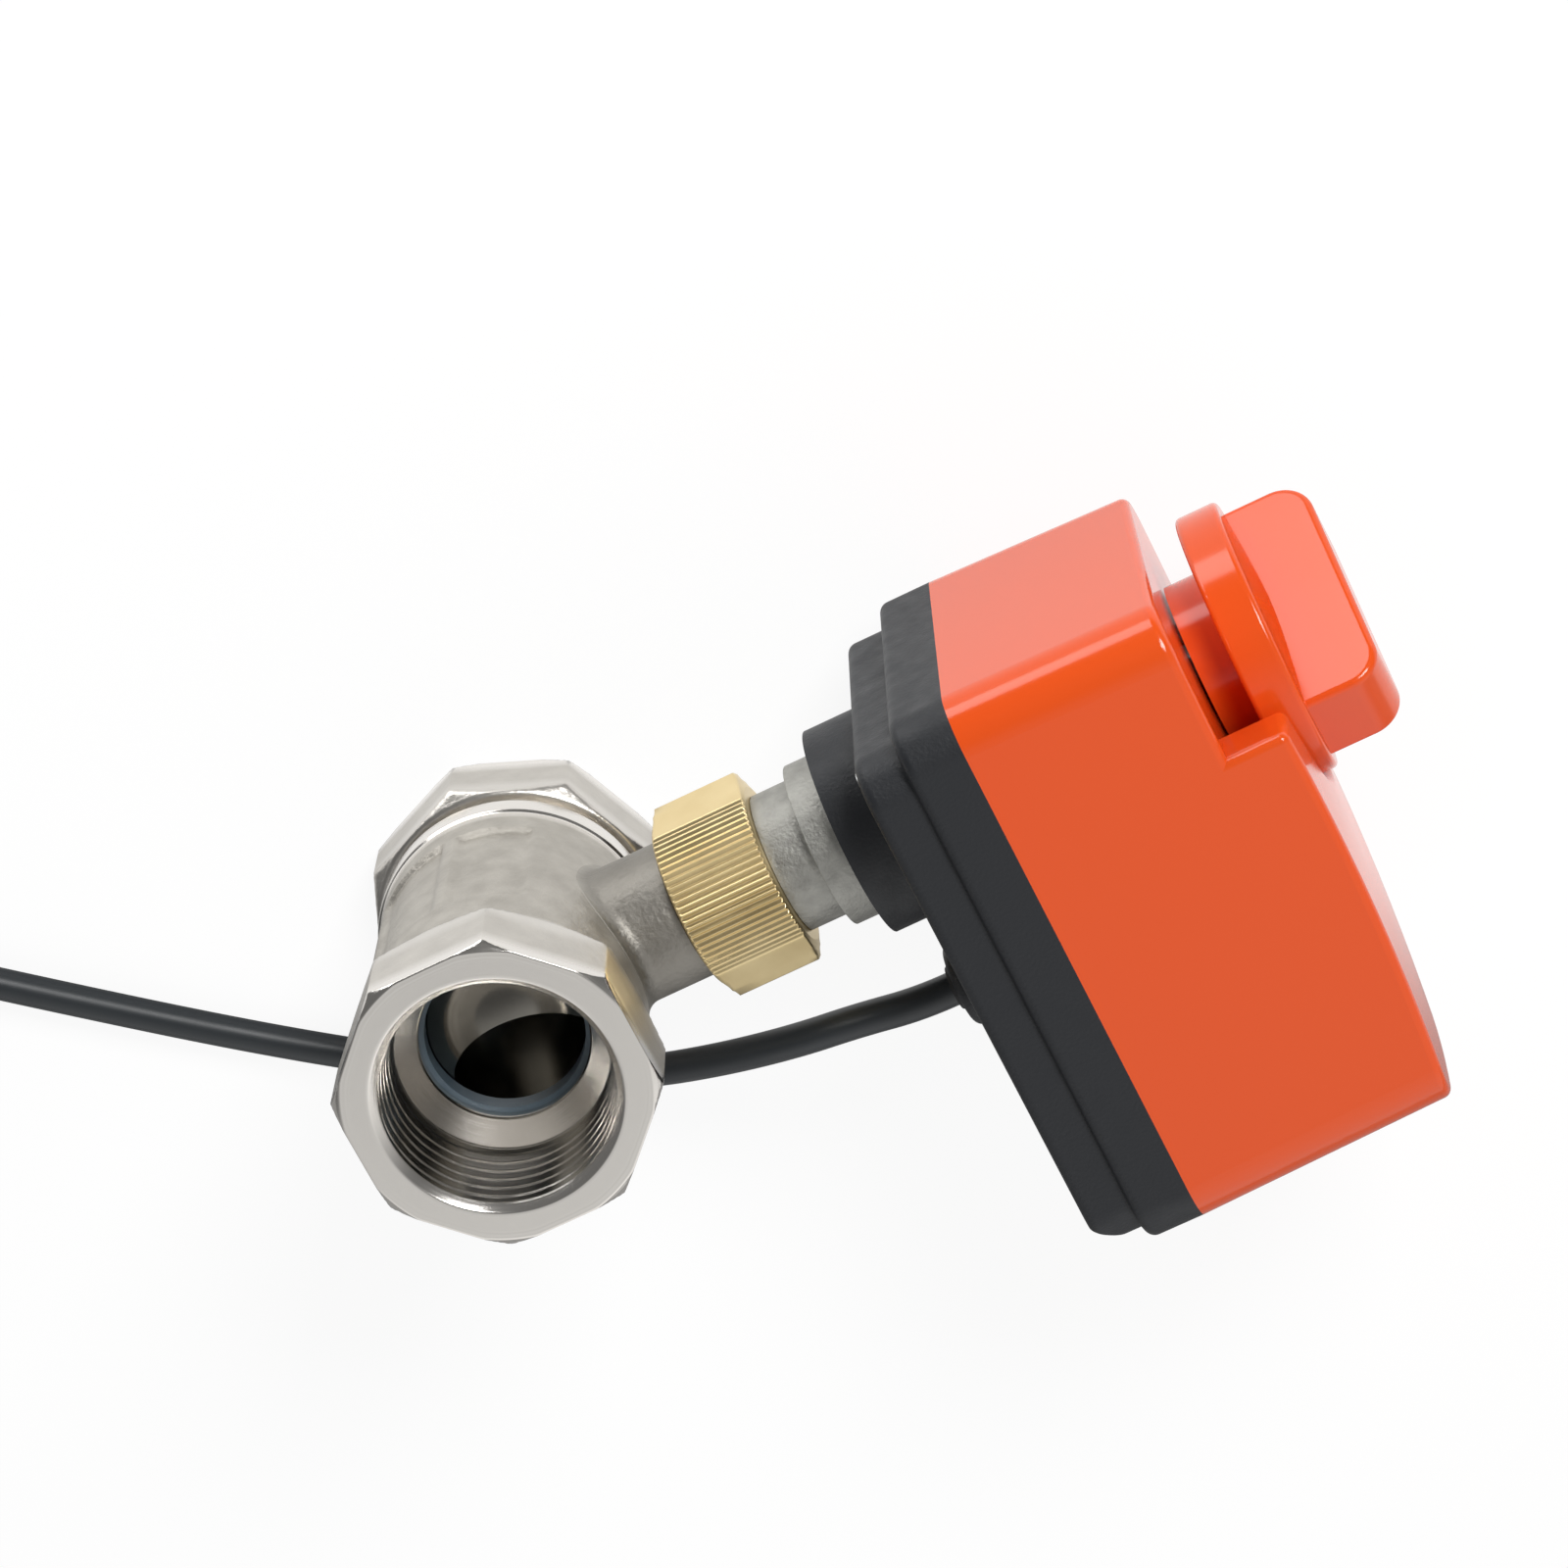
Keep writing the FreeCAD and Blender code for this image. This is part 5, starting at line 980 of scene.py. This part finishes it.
def paper_finish(backdrop, fade_start, fade_end):
    """Matt white paper. What the camera or a mirror sees of it is mostly a glow of its own, so that
    it stays white; in a mirror the glow is dim on the side of the housing's long end, a painted
    shadow on the floor as the metal reflects it. Where the paper fades it turns all to glow, so
    that its end is lost in the background."""
    material = bpy.data.materials.new("studio_paper")
    tree = empty_tree(material)
    rays = add(tree, "ShaderNodeLightPath")
    seen = 0.0
    for ray in ("Is Camera Ray", "Is Glossy Ray", "Is Transmission Ray"):
        seen = add(tree, "ShaderNodeMath", {0: seen, 1: rays.outputs[ray]}, operation="MAXIMUM")
    share = add(tree, "ShaderNodeMath", {0: seen, 1: 0.86}, operation="MULTIPLY")
    spot = add(tree, "ShaderNodeTexCoord").outputs["Object"]
    back = add(tree, "ShaderNodeSeparateXYZ", {0: spot}).outputs["Y"]
    border = add(tree, "ShaderNodeMapRange", {"Value": back, "From Min": fade_start,
                                              "From Max": fade_end},
                 interpolation_type="SMOOTHSTEP")
    border = add(tree, "ShaderNodeMath", {0: rays.outputs["Is Camera Ray"], 1: border},
                 operation="MULTIPLY")
    share = add(tree, "ShaderNodeMath", {0: share, 1: border}, operation="MAXIMUM")
    # Painted shadow in the glow that a mirror sees: dim on the side of the housing's long end, full
    # on the other
    place = add(tree, "ShaderNodeVectorMath", {0: spot, 1: (0.5, 0.87, 0.0)},
                operation="DOT_PRODUCT")
    painted_mirror_shade = add(tree, "ShaderNodeMapRange", {"Value": place, "From Min": -0.02, "From Max": 0.02,
                                           "To Min": 0.3, "To Max": 1.05},
              interpolation_type="SMOOTHSTEP")
    level = add(tree, "ShaderNodeMix", {"Factor": rays.outputs["Is Glossy Ray"], "A": 1.04,
                                        "B": painted_mirror_shade})
    paper = add(tree, "ShaderNodeBsdfDiffuse", {"Color": (0.9, 0.9, 0.9, 1)})
    glow = add(tree, "ShaderNodeEmission", {"Color": backdrop, "Strength": level})
    mix = add(tree, "ShaderNodeMixShader", {0: share, 1: paper, 2: glow})
    add(tree, "ShaderNodeOutputMaterial", {"Surface": mix})
    return material


def studio_world(backdrop):
    """World that the camera sees as the plain background. To the valve it is brightest on the
    side of the housing's long end and dim on the other side."""
    world = bpy.data.worlds.new("studio_world")
    tree = empty_tree(world)
    heading = add(tree, "ShaderNodeTexCoord").outputs["Generated"]
    towards = add(tree, "ShaderNodeVectorMath", {0: heading, 1: (0.0, -0.98, 0.2)},
                  operation="DOT_PRODUCT")
    level = add(tree, "ShaderNodeMapRange", {"Value": towards, "From Min": -0.1, "From Max": 1.0,
                                             "To Min": 0.15, "To Max": 1.0},
                interpolation_type="SMOOTHSTEP")
    soft = add(tree, "ShaderNodeBackground", {"Color": (1, 1, 1, 1), "Strength": level})
    white = add(tree, "ShaderNodeBackground", {"Color": backdrop, "Strength": 1.0})
    seen = add(tree, "ShaderNodeLightPath").outputs["Is Camera Ray"]
    mix = add(tree, "ShaderNodeMixShader", {0: seen, 1: soft, 2: white})
    add(tree, "ShaderNodeOutputWorld", {"Surface": mix})
    return world


class MESH_OT_valve_stage(bpy.types.Operator):
    """White floor, two soft lamps and a world that is bright towards the housing's long end"""
    bl_idname = "mesh.valve_stage"
    bl_label = "Stage"

    def execute(self, context):
        backdrop = (*context.scene.valve_colours.backdrop, 1.0)
        half, edge, below = 3.0, 0.24, 0.0003
        mesh = bpy.data.meshes.new("floor")
        mesh.from_pydata([(-half, -half, 0), (half, -half, 0), (half, edge, 0), (-half, edge, 0)],
                         [], [(0, 1, 2, 3)])
        mesh.materials.append(paper_finish(backdrop, 0.10, edge - 0.02))
        floor = placed("floor", mesh)
        floor.location.z = -below
        context.scene.world = studio_world(backdrop)
        area_lamp("overhead_softbox", (-0.09, 0.72, 0.02), (0.03, 0, 0.035), (0.55, 0.30), 2.1)
        area_lamp("side_softbox", (0.52, 0.47, 0.70), (0.05, 0, 0.035), (0.34, 0.34), 5.8)
        context.scene.view_settings.view_transform = "Standard"
        return {"FINISHED"}


class VIEW3D_PT_valve(bpy.types.Panel):
    """Sidebar panel with the valve's steps, sizes and colours"""
    bl_label = "Motorized ball valve"
    bl_space_type = "VIEW_3D"
    bl_region_type = "UI"
    bl_category = "Valve"

    def draw(self, context):
        for operator in OPERATORS:
            self.layout.operator(operator.bl_idname)
        for group in (context.scene.valve_sizes, context.scene.valve_colours):
            for name in group.__annotations__:
                self.layout.prop(group, name)


OPERATORS = (MESH_OT_valve_camera, MESH_OT_valve_lead, MESH_OT_valve_body, MESH_OT_valve_nut,
             MESH_OT_valve_inner_wires, MESH_OT_valve_finishes, MESH_OT_valve_stage)
CLASSES = (ValveSizes, ValveColours) + OPERATORS + (VIEW3D_PT_valve,)


def register():
    """Adds the classes, and the sizes and colours on the scene."""
    for item in CLASSES:
        bpy.utils.register_class(item)
    bpy.types.Scene.valve_sizes = bpy.props.PointerProperty(type=ValveSizes)
    bpy.types.Scene.valve_colours = bpy.props.PointerProperty(type=ValveColours)


def unregister():
    """Takes away what register added."""
    del bpy.types.Scene.valve_colours
    del bpy.types.Scene.valve_sizes
    for item in reversed(CLASSES):
        bpy.utils.unregister_class(item)


def main():
    """Builds the scene in order."""
    register()
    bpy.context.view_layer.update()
    bpy.ops.mesh.valve_camera()
    bpy.ops.mesh.valve_lead()
    bpy.ops.mesh.valve_body()
    bpy.ops.mesh.valve_nut()
    bpy.ops.mesh.valve_inner_wires()
    bpy.ops.mesh.valve_finishes()
    bpy.ops.mesh.valve_stage()


if __name__ == "__main__":
    main()
